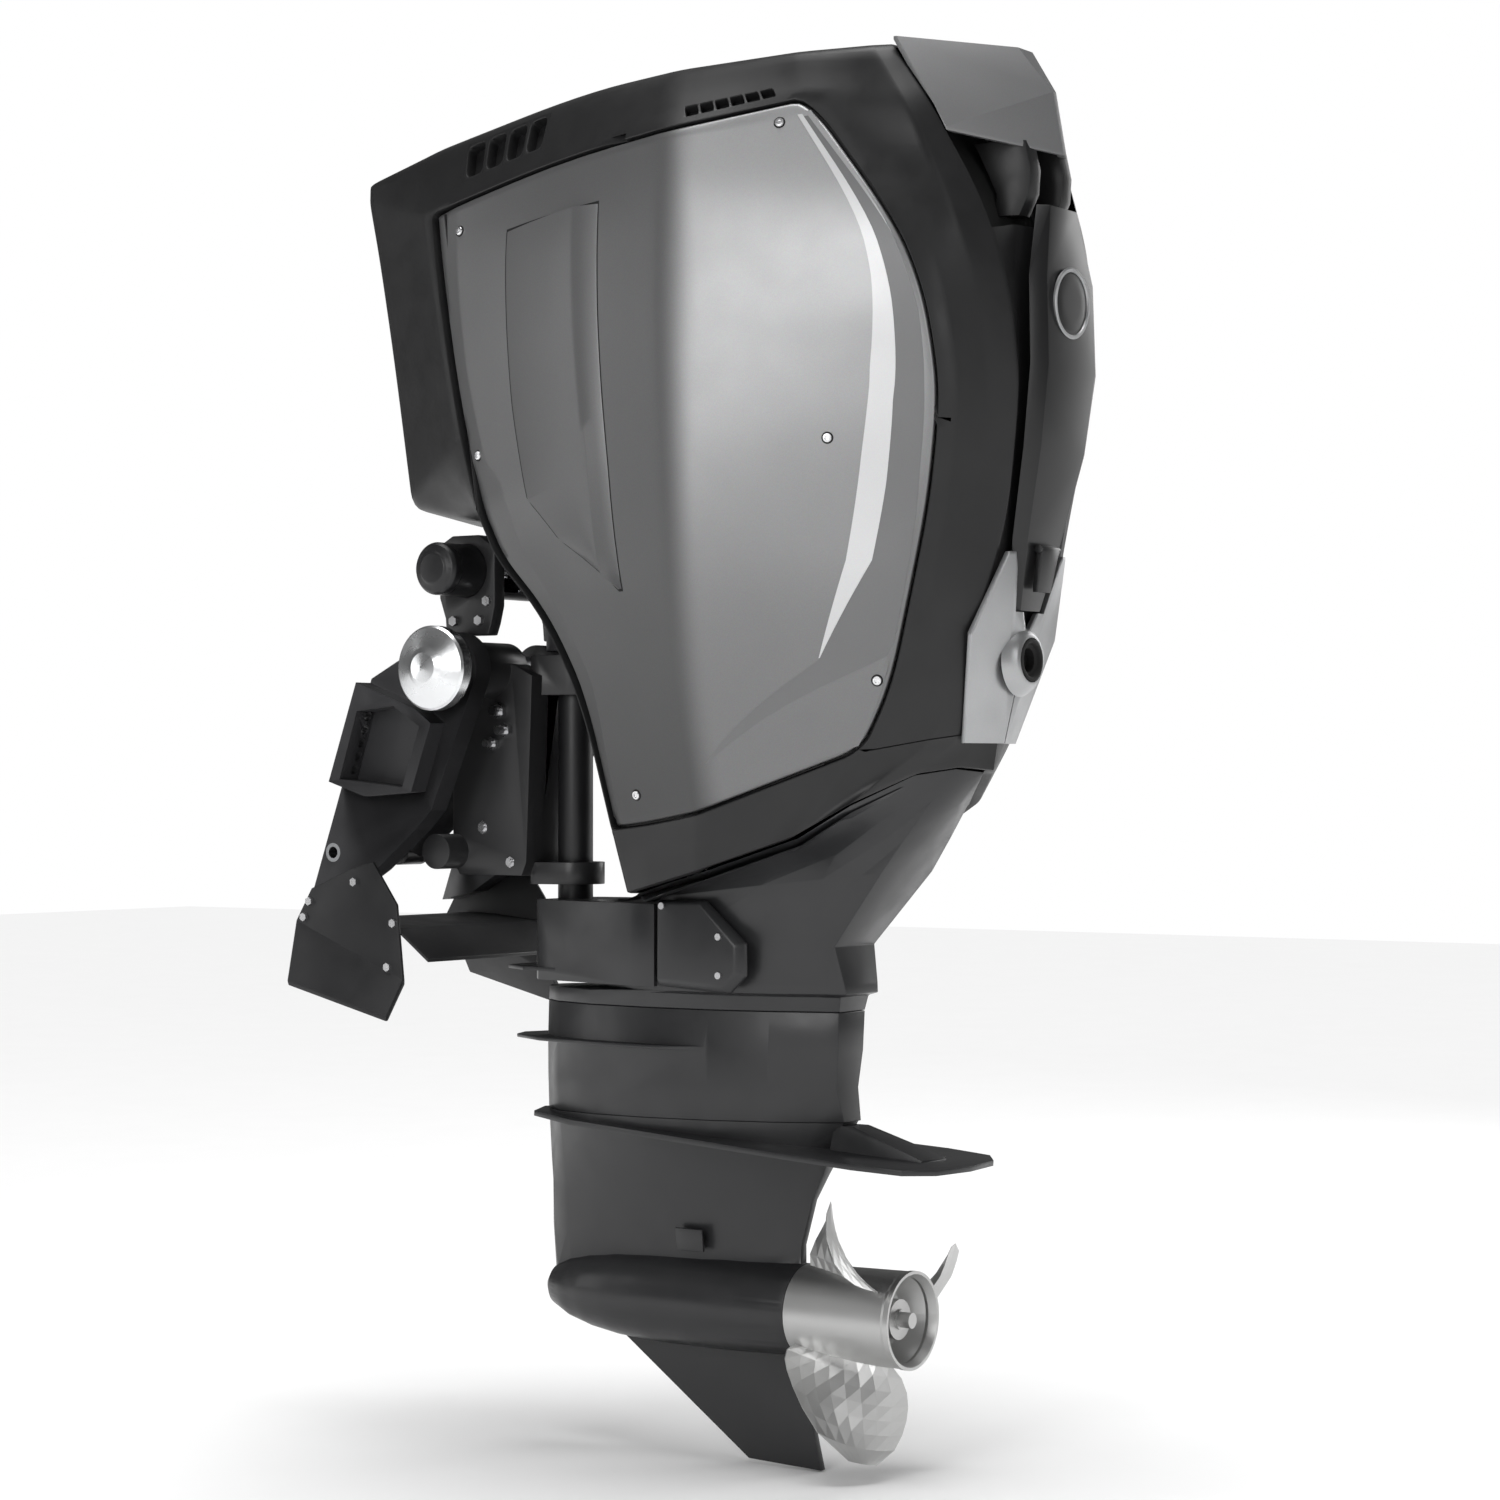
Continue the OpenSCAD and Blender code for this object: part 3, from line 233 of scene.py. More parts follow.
def refine(node, slot=None, width=1.2, segments=2, angle=30, smooth=40):
    """A copy of a CAD node's mesh with its sharp edges rounded, in the node's place."""
    src = nodes[node]
    bm = bmesh.new()
    bm.from_mesh(src.data)
    bmesh.ops.remove_doubles(bm, verts=bm.verts, dist=2e-5)
    bmesh.ops.dissolve_limit(bm, angle_limit=math.radians(0.6), verts=bm.verts, edges=bm.edges)
    if width:
        sharp = [e for e in bm.edges if len(e.link_faces) == 2 and e.calc_face_angle(0) > math.radians(angle)]
        bmesh.ops.bevel(bm, geom=sharp, offset=width * MM, offset_type="OFFSET", segments=segments,
                        profile=0.5, affect="EDGES", clamp_overlap=True)
    me = bpy.data.meshes.new(node + "_shown")
    bm.to_mesh(me)
    bm.free()
    ob = bpy.data.objects.new(node + "_shown", me)
    scene.collection.objects.link(ob)
    finish_mesh(ob, smooth)
    body = src["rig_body"]
    dress(ob, slot or src.data.materials[0].name.split(".")[0], body, (node,))
    return ob


for n, o in nodes.items():
    for k, m in enumerate(o.data.materials):
        o.data.materials[k] = MATS[m.name.split(".")[0]]


# ---------------------------------------------------------------- cowl surface
# Half width, y, z in mm along each line, from the front centre round to the rear centre.
# The lines go from the bottom up.
LINES = np.array([
    [[0, -398, -299], [110, -400, -299], [160, -432, -296], [178, -490, -283], [185, -565, -264],
     [172, -700, -221], [156, -774, -180], [91, -833, -142], [43, -867, -134], [0, -888, -138]],
    [[0, -388, -232], [120, -390, -232], [186, -428, -222], [192, -495, -220], [212, -585, -204],
     [162, -800, -112], [95, -860, -98], [62, -879, -95], [40, -886, -90], [0, -896, -90]],
    [[0, -352, -40], [140, -352, -40], [210, -395, -50], [228, -475, -50], [256, -600, -50],
     [164, -846, -35], [103, -882, -30], [80, -896, -30], [60, -903, -25], [0, -915, -25]],
    [[0, -312, 70], [140, -312, 70], [216, -335, 62], [250, -430, 70], [278, -601, 75],
     [171, -878, 72], [113, -911, 65], [91, -922, 62], [62, -925, 60], [0, -929, 60]],
    [[0, -298, 160], [140, -290, 160], [212, -252, 140], [258, -410, 160], [290, -602, 185],
     [167, -904, 189], [111, -932, 180], [72, -951, 175], [58, -940, 160], [0, -948, 160]],
    [[0, -215, 188], [150, -212, 188], [226, -232, 200], [266, -400, 250], [296, -602, 285],
     [176, -922, 290], [122, -952, 290], [87, -973, 290], [74, -964, 290], [0, -976, 290]],
    [[0, -42, 205], [140, -45, 222], [224, -205, 300], [268, -390, 330], [298, -600, 360],
     [183, -926, 345], [131, -955, 350], [92, -979, 350], [78, -970, 350], [0, -986, 350]],
    [[0, -12, 420], [146, -18, 420], [220, -178, 410], [267, -380, 450], [299, -598, 450],
     [203, -919, 440], [145, -950, 450], [104, -972, 455], [76, -966, 455], [0, -983, 455]],
    [[0, 8, 560], [150, 5, 560], [208, -148, 530], [258, -375, 560], [291, -592, 570],
     [217, -885, 528], [166, -929, 545], [122, -945, 560], [62, -952, 575], [0, -966, 575]],
    [[0, 26, 650], [152, 22, 642], [200, -133, 606], [240, -380, 648], [277, -578, 662],
     [217, -752, 694], [184, -877, 668], [157, -893, 675], [80, -880, 675], [0, -880, 675]],
    [[0, 34, 678], [150, 23, 666], [172, -120, 696], [190, -378, 742], [200, -540, 752],
     [192, -720, 755], [172, -816, 755], [156, -836, 757], [80, -826, 762], [0, -826, 766]],
    [[0, -45, 700], [88, -60, 700], [110, -180, 726], [120, -378, 756], [122, -540, 764],
     [115, -700, 766], [105, -770, 766], [90, -790, 766], [50, -796, 768], [0, -798, 770]],
], float) * MM
N_LINES, N_COLS = LINES.shape[:2]
# How far each corner is rounded, as a share of the step to its neighbours
ROUND_U = [0, 0.14, 0.1, 0.45, 0.12, 0.1, 0.1, 0.1, 0.1, 0]
ROUND_V = np.array([
    [0] * 10,
    [0.2, 0.2, 0.3, 0.45, 0.45, 0.3, 0.3, 0.3, 0.3, 0.3],
    [0.4, 0.4, 0.45, 0.45, 0.45, 0.45, 0.45, 0.45, 0.45, 0.45],
    [0.3, 0.3, 0.45, 0.45, 0.45, 0.45, 0.45, 0.45, 0.45, 0.45],
    [0.1, 0.1, 0.3, 0.45, 0.45, 0.45, 0.45, 0.45, 0.3, 0.3],
    [0.12, 0.12, 0.3, 0.45, 0.45, 0.45, 0.45, 0.45, 0.3, 0.3],
    [0.1, 0.1, 0.4, 0.45, 0.45, 0.45, 0.45, 0.3, 0.3, 0.3],
    [0.4, 0.4, 0.45, 0.45, 0.45, 0.45, 0.45, 0.45, 0.4, 0.4],
    [0.4, 0.4, 0.45, 0.45, 0.4, 0.45, 0.45, 0.45, 0.3, 0.3],
    [0.2, 0.2, 0.1, 0.1, 0.1, 0.1, 0.3, 0.3, 0.3, 0.3],
    [0.15, 0.15, 0.15, 0.2, 0.2, 0.2, 0.2, 0.2, 0.2, 0.2],
    [0] * 10])


def weights(s, n, rounding):
    w = np.zeros(n)

    def add(share, place):
        i = min(max(int(place), 0), n - 2)
        w[i] += share * (1 - (place - i))
        w[i + 1] += share * (place - i)

    k = int(round(s))
    r = rounding[k]
    if 0 < k < n - 1 and r and abs(s - k) < r:
        t = (s - k + r) / (2 * r)
        add((1 - t) ** 2, k - r)
        add(2 * t * (1 - t), k)
        add(t * t, k + r)
    else:
        add(1, s)
    return w


def skin(u, v):
    """Point on the starboard half of the cowl: u round from the front centre, v up from the bottom."""
    cols = np.array([weights(v, N_LINES, ROUND_V[:, c]) @ LINES[:, c] for c in range(N_COLS)])
    return weights(u, N_COLS, ROUND_U) @ cols


def skin_normal(u, v, h=0.02):
    n = np.cross(skin(u + h, v) - skin(u - h, v), skin(u, min(v + h, 11)) - skin(u, max(v - h, 0)))
    return -n / np.linalg.norm(n) if n[0] < 0 else n / np.linalg.norm(n)


# The side panel's outline in (u, v): a rounded rectangle, with (ru, rv) at each corner
P_U0, P_U1, P_V0, P_V1 = 2.0, 5.0, 1.0, 9.0
CORNER = {(0, 0): (0.12, 0.05), (0, 1): (0.05, 0.14), (1, 0): (0.12, 0.25), (1, 1): (0.12, 0.3)}


def rounded(u, v):
    """Moves a point of the rectangle's edge onto the rounded outline."""
    ru, rv = CORNER[(int(u > 3.5), int(v > 5))]
    cu = P_U0 + ru if u < 3.5 else P_U1 - ru
    cv = P_V0 + rv if v < 5 else P_V1 - rv
    du, dv = (u - cu) / ru, (v - cv) / rv
    if (du if u > 3.5 else -du) > 0 and (dv if v > 5 else -dv) > 0:
        size = math.hypot(du, dv)
        return cu + du / size * ru, cv + dv / size * rv
    return u, v


def outline_frame(loop):
    """Point, inward direction and outward normal at each (u, v) of a closed outline."""
    pts = [skin(u, v) for u, v in loop]
    centre = np.mean(pts, axis=0)
    out = []
    n = len(pts)
    for i, (u, v) in enumerate(loop):
        t = pts[(i + 1) % n] - pts[i - 1]
        t /= np.linalg.norm(t)
        nrm = skin_normal(min(max(u, 2.12), 4.88), min(max(v, 1.1), 8.9), 0.03)
        d = np.cross(nrm, t)
        d /= np.linalg.norm(d)
        if np.dot(d, centre - pts[i]) < 0:
            d = -d
        out.append((pts[i], d, nrm))
    return out


def quads(ni, nj, skip=lambda i, j: False, base=0):
    return [(base + i * nj + j, base + (i + 1) * nj + j, base + (i + 1) * nj + j + 1, base + i * nj + j + 1)
            for i in range(ni - 1) for j in range(nj - 1) if not skip(i, j)]


def rim(verts, faces, loops, edge):
    """Adds loops of points after an edge loop of vertex numbers, joined by quads."""
    prev = list(edge)
    n = len(prev)
    for loop in loops:
        cur = list(range(len(verts), len(verts) + n))
        verts.extend(loop)
        faces.extend((prev[k], prev[(k + 1) % n], cur[(k + 1) % n], cur[k]) for k in range(n))
        prev = cur


def border(ni, nj):
    """Vertex numbers round the border of an ni by nj grid, in order."""
    return ([i * nj for i in range(ni)] + [(ni - 1) * nj + j for j in range(1, nj)]
            + [i * nj + nj - 1 for i in range(ni - 2, -1, -1)] + [j for j in range(nj - 2, 0, -1)])


def steps(marks, *spans):
    out = set(marks)
    for a, b, n in spans:
        out |= {round(a + (b - a) * k / n, 5) for k in range(n + 1)}
    return sorted(out)


def oriented(verts, faces, name, slot, body, replaces=(), smooth=35):
    """Makes a piece whose faces all point outwards, welded, with no stray faces."""
    bm = bmesh.new()
    made = [bm.verts.new(tuple(v)) for v in verts]
    for f in faces:
        ring = []
        for k in f:
            if made[k] not in ring:
                ring.append(made[k])
        if len(ring) > 2:
            try:
                bm.faces.new(ring)
            except ValueError:
                pass
    bmesh.ops.remove_doubles(bm, verts=bm.verts, dist=1e-5)
    bmesh.ops.recalc_face_normals(bm, faces=bm.faces)
    loose = [v for v in bm.verts if not v.link_faces]
    bmesh.ops.delete(bm, geom=loose, context="VERTS")
    me = bpy.data.meshes.new(name)
    bm.to_mesh(me)
    bm.free()
    ob = bpy.data.objects.new(name, me)
    scene.collection.objects.link(ob)
    finish_mesh(ob, smooth)
    dress(ob, slot, body, replaces)
    return ob


def flipped(verts):
    return [np.array([-p[0], p[1], p[2]]) for p in verts]


STRIP_DEPTH = 7        # how deep the chamfer along the panel's front edge goes, in mm


def strip_place(v):
    """Where the chamfer along the panel's front edge ends, in u, with its step near the middle."""
    z = skin(2.2, v)[2] / MM
    return 2 + np.interp(z, [-222, -124, -22, 55, 134, 236, 268, 295, 376, 484, 598],
                         [0.3, 0.3, 0.49, 0.47, 0.4, 0.34, 0.21, 0.21, 0.18, 0.19, 0.22])


def panel_point(u, v):
    """The side panel's outer face: the skin with the front chamfer let into it."""
    p = skin(u, v)
    s = strip_place(v)
    if u < s:
        p = p - skin_normal(max(u, 2.12), v) * STRIP_DEPTH * MM * (1 - (u - 2) / (s - 2))
    return p


# frame of the cowl, both sides in one piece, with an opening for each side panel
fu = steps([2.0, 5.0], (0, 0.8, 4), (0.86, 1.14, 6), (1.2, 1.9, 5), (2.0, 2.24, 4), (2.24, 2.84, 5),
           (2.84, 3.45, 4), (3.5, 3.9, 3), (3.88, 4.12, 6), (4.12, 4.78, 5), (4.78, 5.0, 4), (5.0, 5.9, 5),
           (5.9, 6.1, 4), (6.3, 6.7, 2), (6.9, 7.1, 4), (7.3, 7.7, 2), (7.9, 8.1, 4), (8.3, 9, 3))
fv = steps([], (1, 1.3, 6), (1.3, 3.7, 16), (3.7, 4.3, 8), (4.3, 4.8, 3), (4.88, 5.12, 4), (5.2, 5.8, 3),
           (5.9, 6.1, 4), (6.1, 8.6, 16), (8.6, 9.0, 8), (9.0, 9.3, 3), (9.3, 9.9, 4), (9.9, 10.2, 4),
           (10.2, 11, 4))
in_hole = lambda u, v: P_U0 - 1e-6 <= u <= P_U1 + 1e-6 and P_V0 - 1e-6 <= v <= P_V1 + 1e-6


def half_frame():
    verts, faces = [], []
    nu, nv = len(fu), len(fv)
    for u in fu:
        for v in fv:
            uu, vv = (rounded(u, v) if in_hole(u, v) else (u, v))
            verts.append(skin(uu, vv))

    def skip(i, j):
        u, v = (fu[i] + fu[i + 1]) / 2, (fv[j] + fv[j + 1]) / 2
        if in_hole(u, v):
            return True
        if (2.24 < u < 2.84 and 9.3 < v < 9.9) or (4.12 < u < 4.78 and 9.1 < v < 9.3):
            return True
        return u > 7.0 and v > 7.6 and v < 10.0     # intake behind the frame
    faces += quads(nu, nv, skip)
    # lip round the panel's opening
    iu = [i for i, u in enumerate(fu) if P_U0 <= u <= P_U1]
    jv = [j for j, v in enumerate(fv) if P_V0 <= v <= P_V1]
    ring = ([(i, jv[0]) for i in iu] + [(iu[-1], j) for j in jv[1:]]
            + [(i, jv[-1]) for i in reversed(iu[:-1])] + [(iu[0], j) for j in reversed(jv[1:-1])])
    loop = [rounded(fu[i], fv[j]) for i, j in ring]
    at = outline_frame(loop)
    edge = [i * nv + j for i, j in ring]
    for k, (p, d, n) in zip(edge, at):
        verts[k] = p - d * 1.6 * MM
    rim(verts, faces, [[p - d * a * MM - n * b * MM for p, d, n in at]
                       for a, b in ((0.5, 0.5), (0, 1.6), (0, 14), (-12, 16))], edge)
    return verts, faces


hv, hf = half_frame()
verts = hv + flipped(hv)
faces = hf + [tuple(k + len(hv) for k in f) for f in hf]
# the roof, across from side to side
top = [i * len(fv) + len(fv) - 1 for i in range(len(fu))]
faces += [(top[i], top[i + 1], top[i + 1] + len(hv), top[i] + len(hv)) for i in range(len(fu) - 1)]
oriented(verts, faces, "cowl_frame", "cowl_black", "motor", ("upper_cowl",))

# side panels
pv = steps([], (1.12, 1.3, 4), (1.3, 3.7, 16), (3.7, 5.2, 24), (5.2, 8.6, 22), (8.6, 8.88, 5))


def side_panel():
    verts = []
    rows = []
    for v in pv:
        s = strip_place(v)
        rows.append([2 + (s - 2) * k for k in (0.26, 0.45, 0.7, 0.93)] + [s, s + 0.02]
                    + [s + (3 - s) * k for k in (0.2, 0.5, 0.8)]
                    + [3, 3.25, 3.5, 3.7, 3.82, 3.88, 3.92, 3.96, 4.0, 4.04, 4.08,
                       4.12, 4.25, 4.4, 4.55, 4.7, 4.82, 4.88, 4.92, 4.95])
    nu, nv = len(rows[0]), len(pv)
    for i in range(nu):
        for j in range(nv):
            verts.append(panel_point(rows[j][i], pv[j]))
    faces = quads(nu, nv)
    edge = border(nu, nv)
    loop = []
    for k in edge:
        i, j = divmod(k, nv)
        u = 2 + 3 * (rows[j][i] - rows[j][0]) / (rows[j][-1] - rows[j][0])
        v = 1 + 8 * (pv[j] - pv[0]) / (pv[-1] - pv[0])
        loop.append(rounded(u, v))
    at = outline_frame(loop)
    sunk = []
    for (u, v), (p, d, n) in zip(loop, at):
        end = strip_place(min(max(v, 1.1), 8.9))
        sunk.append(p - n * (STRIP_DEPTH * MM * max(0, 1 - (u - 2) / (end - 2)) if u < 3 else 0))
    loops = [[q + d * a * MM - n * b * MM for q, (p, d, n) in zip(sunk, at)]
             for a, b in ((8.5, 0.2), (6.2, 0.7), (4.6, 1.8), (3.6, 3.4), (3.2, 6), (3.2, 12))]
    rim(verts, faces, loops, edge)
    return verts, faces


sv, sf = side_panel()
oriented(sv, sf, "panel_starboard", "panel_silver", "motor", ("side_panel_starboard",), 50)
oriented(flipped(sv), sf, "panel_port", "panel_silver", "motor", ("side_panel_port",), 50)

# lower cowl: a band under the panels
lu = steps([], (0, 0.8, 4), (0.86, 1.14, 6), (1.2, 1.9, 4), (1.9, 2.2, 6), (2.2, 3.8, 8), (3.88, 4.12, 6),
           (4.12, 4.7, 4), (4.7, 5.1, 8), (5.1, 5.9, 4), (5.9, 6.1, 4), (6.3, 6.7, 2), (6.9, 7.1, 4),
           (7.3, 7.7, 2), (7.9, 8.1, 4), (8.3, 9, 3))
lower = []
for u in lu:
    col = [skin(u, v) for v in (0, 0.04, 0.2, 0.4, 0.6, 0.8, 0.93)]
    uu, vv = rounded(u, 1.0) if 2 <= u <= 5 else (u, 1.0)
    edge_p = skin(uu, vv)
    n = skin_normal(min(max(u, 0.1), 8.9), 0.9)
    inward = np.array([n[0], n[1], 0])
    inward /= np.linalg.norm(inward)
    gap = np.array([0, 0, 0.5 * MM])
    col += [edge_p - gap * 3, edge_p - gap * 1.6 - inward * 0.6 * MM, edge_p - gap - inward * 2 * MM,
            edge_p - gap - inward * 16 * MM]
    foot = col[0]
    lower.append([foot - inward * 14 * MM, foot - inward * 1.5 * MM, foot + gap * 1.5] + col[1:])
lv = [p for col in lower for p in col]
lf = quads(len(lu), len(lower[0]))
oriented(lv + flipped(lv), lf + [tuple(k + len(lv) for k in f) for f in lf], "cowl_base", "cowl_black",
         "motor", ("lower_cowl",))


# ---------------------------------------------------------------- pieces that lie on the cowl
def closed(name, outer, inner, ni, nj, slot, body, replaces=(), smooth=35, mirror=True):
    """A closed slab between two ni by nj grids of points, on both sides of the cowl."""
    verts = list(outer) + list(inner)
    n = ni * nj
    faces = quads(ni, nj) + quads(ni, nj, base=n)
    edge = border(ni, nj)
    faces += [(a, b, b + n, a + n) for a, b in zip(edge, edge[1:] + edge[:1])]
    if mirror:
        faces += [tuple(k + 2 * n for k in f) for f in faces]
        verts += flipped(verts)
    return oriented(verts, faces, name, slot, body, replaces, smooth)


def slab(name, rows, lift, depth, slot, body="motor", replaces=(), smooth=35):
    """Rows of (u, v) on the panel's face, raised by lift(i, j) and sunk by depth, in mm."""
    ni, nj = len(rows), len(rows[0])
    outer, inner = [], []
    for i, row in enumerate(rows):
        for j, (u, v) in enumerate(row):
            n = skin_normal(u, v)
            p = panel_point(u, v)
            outer.append(p + n * lift(i, j) * MM)
            inner.append(p - n * depth * MM)
    return closed(name, outer, inner, ni, nj, slot, body, replaces, smooth)


def lathe(name, profile, at, axis, slot, body, replaces=(), count=56, mirror=False, smooth=35):
    """A turned piece: profile of (radius, height) in mm, height along the axis."""
    w = Vector(axis).normalized()
    turn = w.to_track_quat("Z", "Y").to_matrix()
    verts, faces = [], []
    rings = []
    for r, h in profile:
        if r < 1e-6:
            rings.append([len(verts)])
            verts.append(Vector(at) + turn @ Vector((0, 0, h)) * MM)
        else:
            rings.append(list(range(len(verts), len(verts) + count)))
            for k in range(count):
                a = 2 * math.pi * k / count
                verts.append(Vector(at) + turn @ Vector((r * math.cos(a), r * math.sin(a), h)) * MM)
    for a, b in zip(rings, rings[1:]):
        for k in range(count):
            face = (a[k % len(a)], a[(k + 1) % len(a)], b[(k + 1) % len(b)], b[k % len(b)])
            faces.append(face)
    verts = [np.array(v) for v in verts]
    if mirror:
        faces += [tuple(k + len(verts) for k in f) for f in faces]
        verts += flipped(verts)
    return oriented(verts, faces, name, slot, body, replaces, smooth)


# screws through the panels, each with a socket, in a dark washer
SCREWS = [(4.72, 8.82), (2.24, 8.49), (2.15, 5.70), (4.58, 4.82), (4.91, 2.06), (2.83, 1.29)]
WASHER = [(0, -1.5), (7.4, -1.5), (7.4, 0.5), (6.9, 0.9), (0, 0.9)]
SCREW = [(0, 0.6), (5.8, 0.6), (5.8, 1.6), (5.2, 2.5), (3.0, 2.7), (2.8, 1.2), (0, 1.1)]
for k, (u, v) in enumerate(SCREWS):
    at, n = panel_point(u, v), skin_normal(u, v, 0.05)
    lathe("panel_washer_%d" % k, WASHER, at, n, "rubber_black", "motor", mirror=True)
    lathe("panel_screw_%d" % k, SCREW, at, n, "bolt_steel", "motor",
          ("panel_screws",) if k == 0 else (), mirror=True)

# painted bands down the panels' aft parts
BRIGHT_IN = [(2.33, 4.614), (3.405, 4.689), (4.644, 4.71), (6.038, 4.74), (7.212, 4.8), (7.818, 4.821),
             (8.893, 4.852)]
BRIGHT_OUT = [(2.33, 4.616), (3.401, 4.795), (4.217, 4.81), (5.406, 4.817), (6.954, 4.857), (7.826, 4.873),
              (8.893, 4.882)]
GREY_OUT = [(1.43, 4.031), (2.33, 4.93), (2.529, 4.956), (3.396, 4.95), (4.403, 4.933), (5.739, 4.932),
            (6.721, 4.95), (7.767, 4.95), (8.893, 4.907)]
GREY_IN = [(1.43, 4.03), (2.33, 4.62)] + BRIGHT_OUT[1:]


def along(line, v):
    return float(np.interp(v, [p[0] for p in line], [p[1] for p in line]))


def band(name, inner, outer, v0, v1, slot, lift):
    vs = [v0] + [v for v in pv if v0 + 0.01 < v < v1 - 0.01] + [v1]
    rows = [[(along(inner, v) + (along(outer, v) - along(inner, v)) * t, v) for t in (0, 0.25, 0.5, 0.75, 1)]
            for v in vs]
    return slab(name, rows, lambda i, j: lift, 0.6, slot)


band("band_bright_side", BRIGHT_IN, BRIGHT_OUT, 2.36, 8.86, "band_bright", 0.75)
band("band_grey_side", GREY_IN, GREY_OUT, 1.46, 8.84, "band_grey", 0.5)

# vent doors, hinged at the front edge, with a ridge towards the aft edge
RIDGE_HIGH = 9.5        # how far the ridge stands out, in mm
DOOR_FRONT = [(3.186, 3.40), (4.002, 2.870), (4.759, 2.611), (6.198, 2.604), (8.19, 2.655)]
DOOR_RIDGE = [(3.186, 3.412), (3.401, 3.265), (5.104, 3.293), (8.19, 3.259)]
DOOR_AFT = [(3.186, 3.423), (4.739, 3.435), (8.19, 3.428)]
door_v = steps([3.401, 4.002, 4.759], (3.2, 5.2, 14), (5.2, 8.17, 16))
rows, high, gap_rows = [], [], []
for v in door_v:
    f, r, a = along(DOOR_FRONT, v), along(DOOR_RIDGE, v), along(DOOR_AFT, v)
    rows.append([(f + (r - f) * t, v) for t in (0, 0.03, 0.35, 0.7, 0.97)] + [(r + 0.015, v)] +
                [(r + (a - r) * t, v) for t in (0.55, 0.96, 1)])
    full = min(1, (v - 3.15) / 0.5) * RIDGE_HIGH
    high.append([0.5, 1.0, 1.0 + full * 0.36, 1.0 + full * 0.72, 1.0 + full, 1.0 + full, 0.9 + full * 0.5, 1.2,
                 0.5])
# outline of a dark strip a little larger than each door, painted shade for the gap round it
for v in steps([], (3.17, 8.21, 34)):
    f, a = along(DOOR_FRONT, v) - 0.008, along(DOOR_AFT, v) + 0.006
    gap_rows.append([(f + (a - f) * t, v) for t in (0, 0.25, 0.5, 0.75, 1)])
ni, nj = len(rows), len(rows[0])
outer, inner = [], []
for i, row in enumerate(rows):
    for j, (u, v) in enumerate(row):
        n, p = skin_normal(u, v), panel_point(u, v)
        outer.append(p + n * high[i][j] * MM)
        inner.append(p + n * 0.1 * MM)
closed("vent_door_starboard_shown", outer, inner, ni, nj, "panel_silver", "motor",
       ("vent_door_starboard",), 20, False)
closed("vent_door_port_shown", flipped(outer), flipped(inner), ni, nj, "panel_silver", "motor",
       ("vent_door_port",), 20, False)
# a thin dark strip under each vent door, a little larger than the door: painted shade standing in for the
# shadowed gap round the door
slab("door_gap_shade", gap_rows, lambda i, j: 0.35, 0.6, "rubber_black")


# openings in the cowl: slots near the front, louvres aft
def pill(cu, cv, du, dv, lean, a, power):
    c, s = math.cos(a), math.sin(a)
    x = math.copysign(abs(c) ** (2 / power), c) * du
    y = math.copysign(abs(s) ** (2 / power), s) * dv
    return cu + x + lean * y, cv + y


def openings(name, u0, u1, v0, v1, count, share_u, share_v, lean, deep, power, slot):
    """A row of blocks set into the cowl, each with a rounded pocket."""
    verts, faces = [], []
    step = (u1 - u0) / count
    side = 10
    for k in range(count):
        a0, a1 = u0 + k * step + 0.0004, u0 + (k + 1) * step - 0.0004
        rect = ([(a0 + (a1 - a0) * t / side, v0) for t in range(side)]
                + [(a1, v0 + (v1 - v0) * t / side) for t in range(side)]
                + [(a1 - (a1 - a0) * t / side, v1) for t in range(side)]
                + [(a0, v1 - (v1 - v0) * t / side) for t in range(side)])
        cu, cv, du, dv = (a0 + a1) / 2, (v0 + v1) / 2, (a1 - a0) / 2, (v1 - v0) / 2
        n = len(rect)
        nrm = skin_normal(cu, cv)
        edge = [skin(u, v) for u, v in rect]
        loops = [[p - nrm * (deep + 3) * MM for p in edge], edge]
        for grow, sink in ((1.1, 0), (1.0, 0.7), (0.97, 1.8), (0.97, deep)):
            loop = []
            for u, v in rect:
                ang = math.atan2((v - cv) / dv, (u - cu) / du)
                pu, pw = pill(cu, cv, du * share_u * grow, dv * share_v * grow, lean * du / dv, ang, power)
                loop.append(skin(pu, pw) - nrm * sink * MM)
            loops.append(loop)
        base = len(verts)
        for loop in loops:
            verts.extend(loop)
        for q in range(len(loops) - 1):
            near, far = base + q * n, base + (q + 1) * n
            faces += [(near + t, near + (t + 1) % n, far + (t + 1) % n, far + t) for t in range(n)]
        faces += [tuple(base + t for t in range(n)), tuple(base + (len(loops) - 1) * n + t for t in range(n))]
    faces += [tuple(k + len(verts) for k in f) for f in faces]
    return oriented(verts + flipped(verts), faces, name, slot, "motor")


openings("side_slots", 2.24, 2.84, 9.3, 9.9, 4, 0.84, 0.86, -0.12, 16, 5, "cowl_black")
openings("aft_louvre", 4.12, 4.78, 9.1, 9.3, 6, 0.86, 0.94, -0.2, 12, 6, "cowl_black")

# air intake under the cap: a dark recess with a fin at each side of its middle
rec_u, rec_v = steps([], (6.9, 9, 8)), steps([], (7.5, 10.1, 10))
outer = [skin(u, v) + np.array([0, 26, 0]) * MM for u in rec_u for v in rec_v]
inner = [p + np.array([0, 4, 0]) * MM for p in outer]
closed("intake_recess", outer, inner, len(rec_u), len(rec_v), "rubber_black", "motor")
outer, inner = [], []
FIN = [(548, -958, -930), (575, -972, -932), (605, -974, -918), (640, -966, -900)]
for z, y_out, y_in in FIN:
    for x, d in ((22, 16), (28, 2), (38, 0), (52, 3), (60, 18)):
        outer.append(np.array([x, y_out + d, z]) * MM)
        inner.append(np.array([x, y_in + 4, z]) * MM)
closed("intake_fins", outer, inner, len(FIN), 5, "cowl_black", "motor")

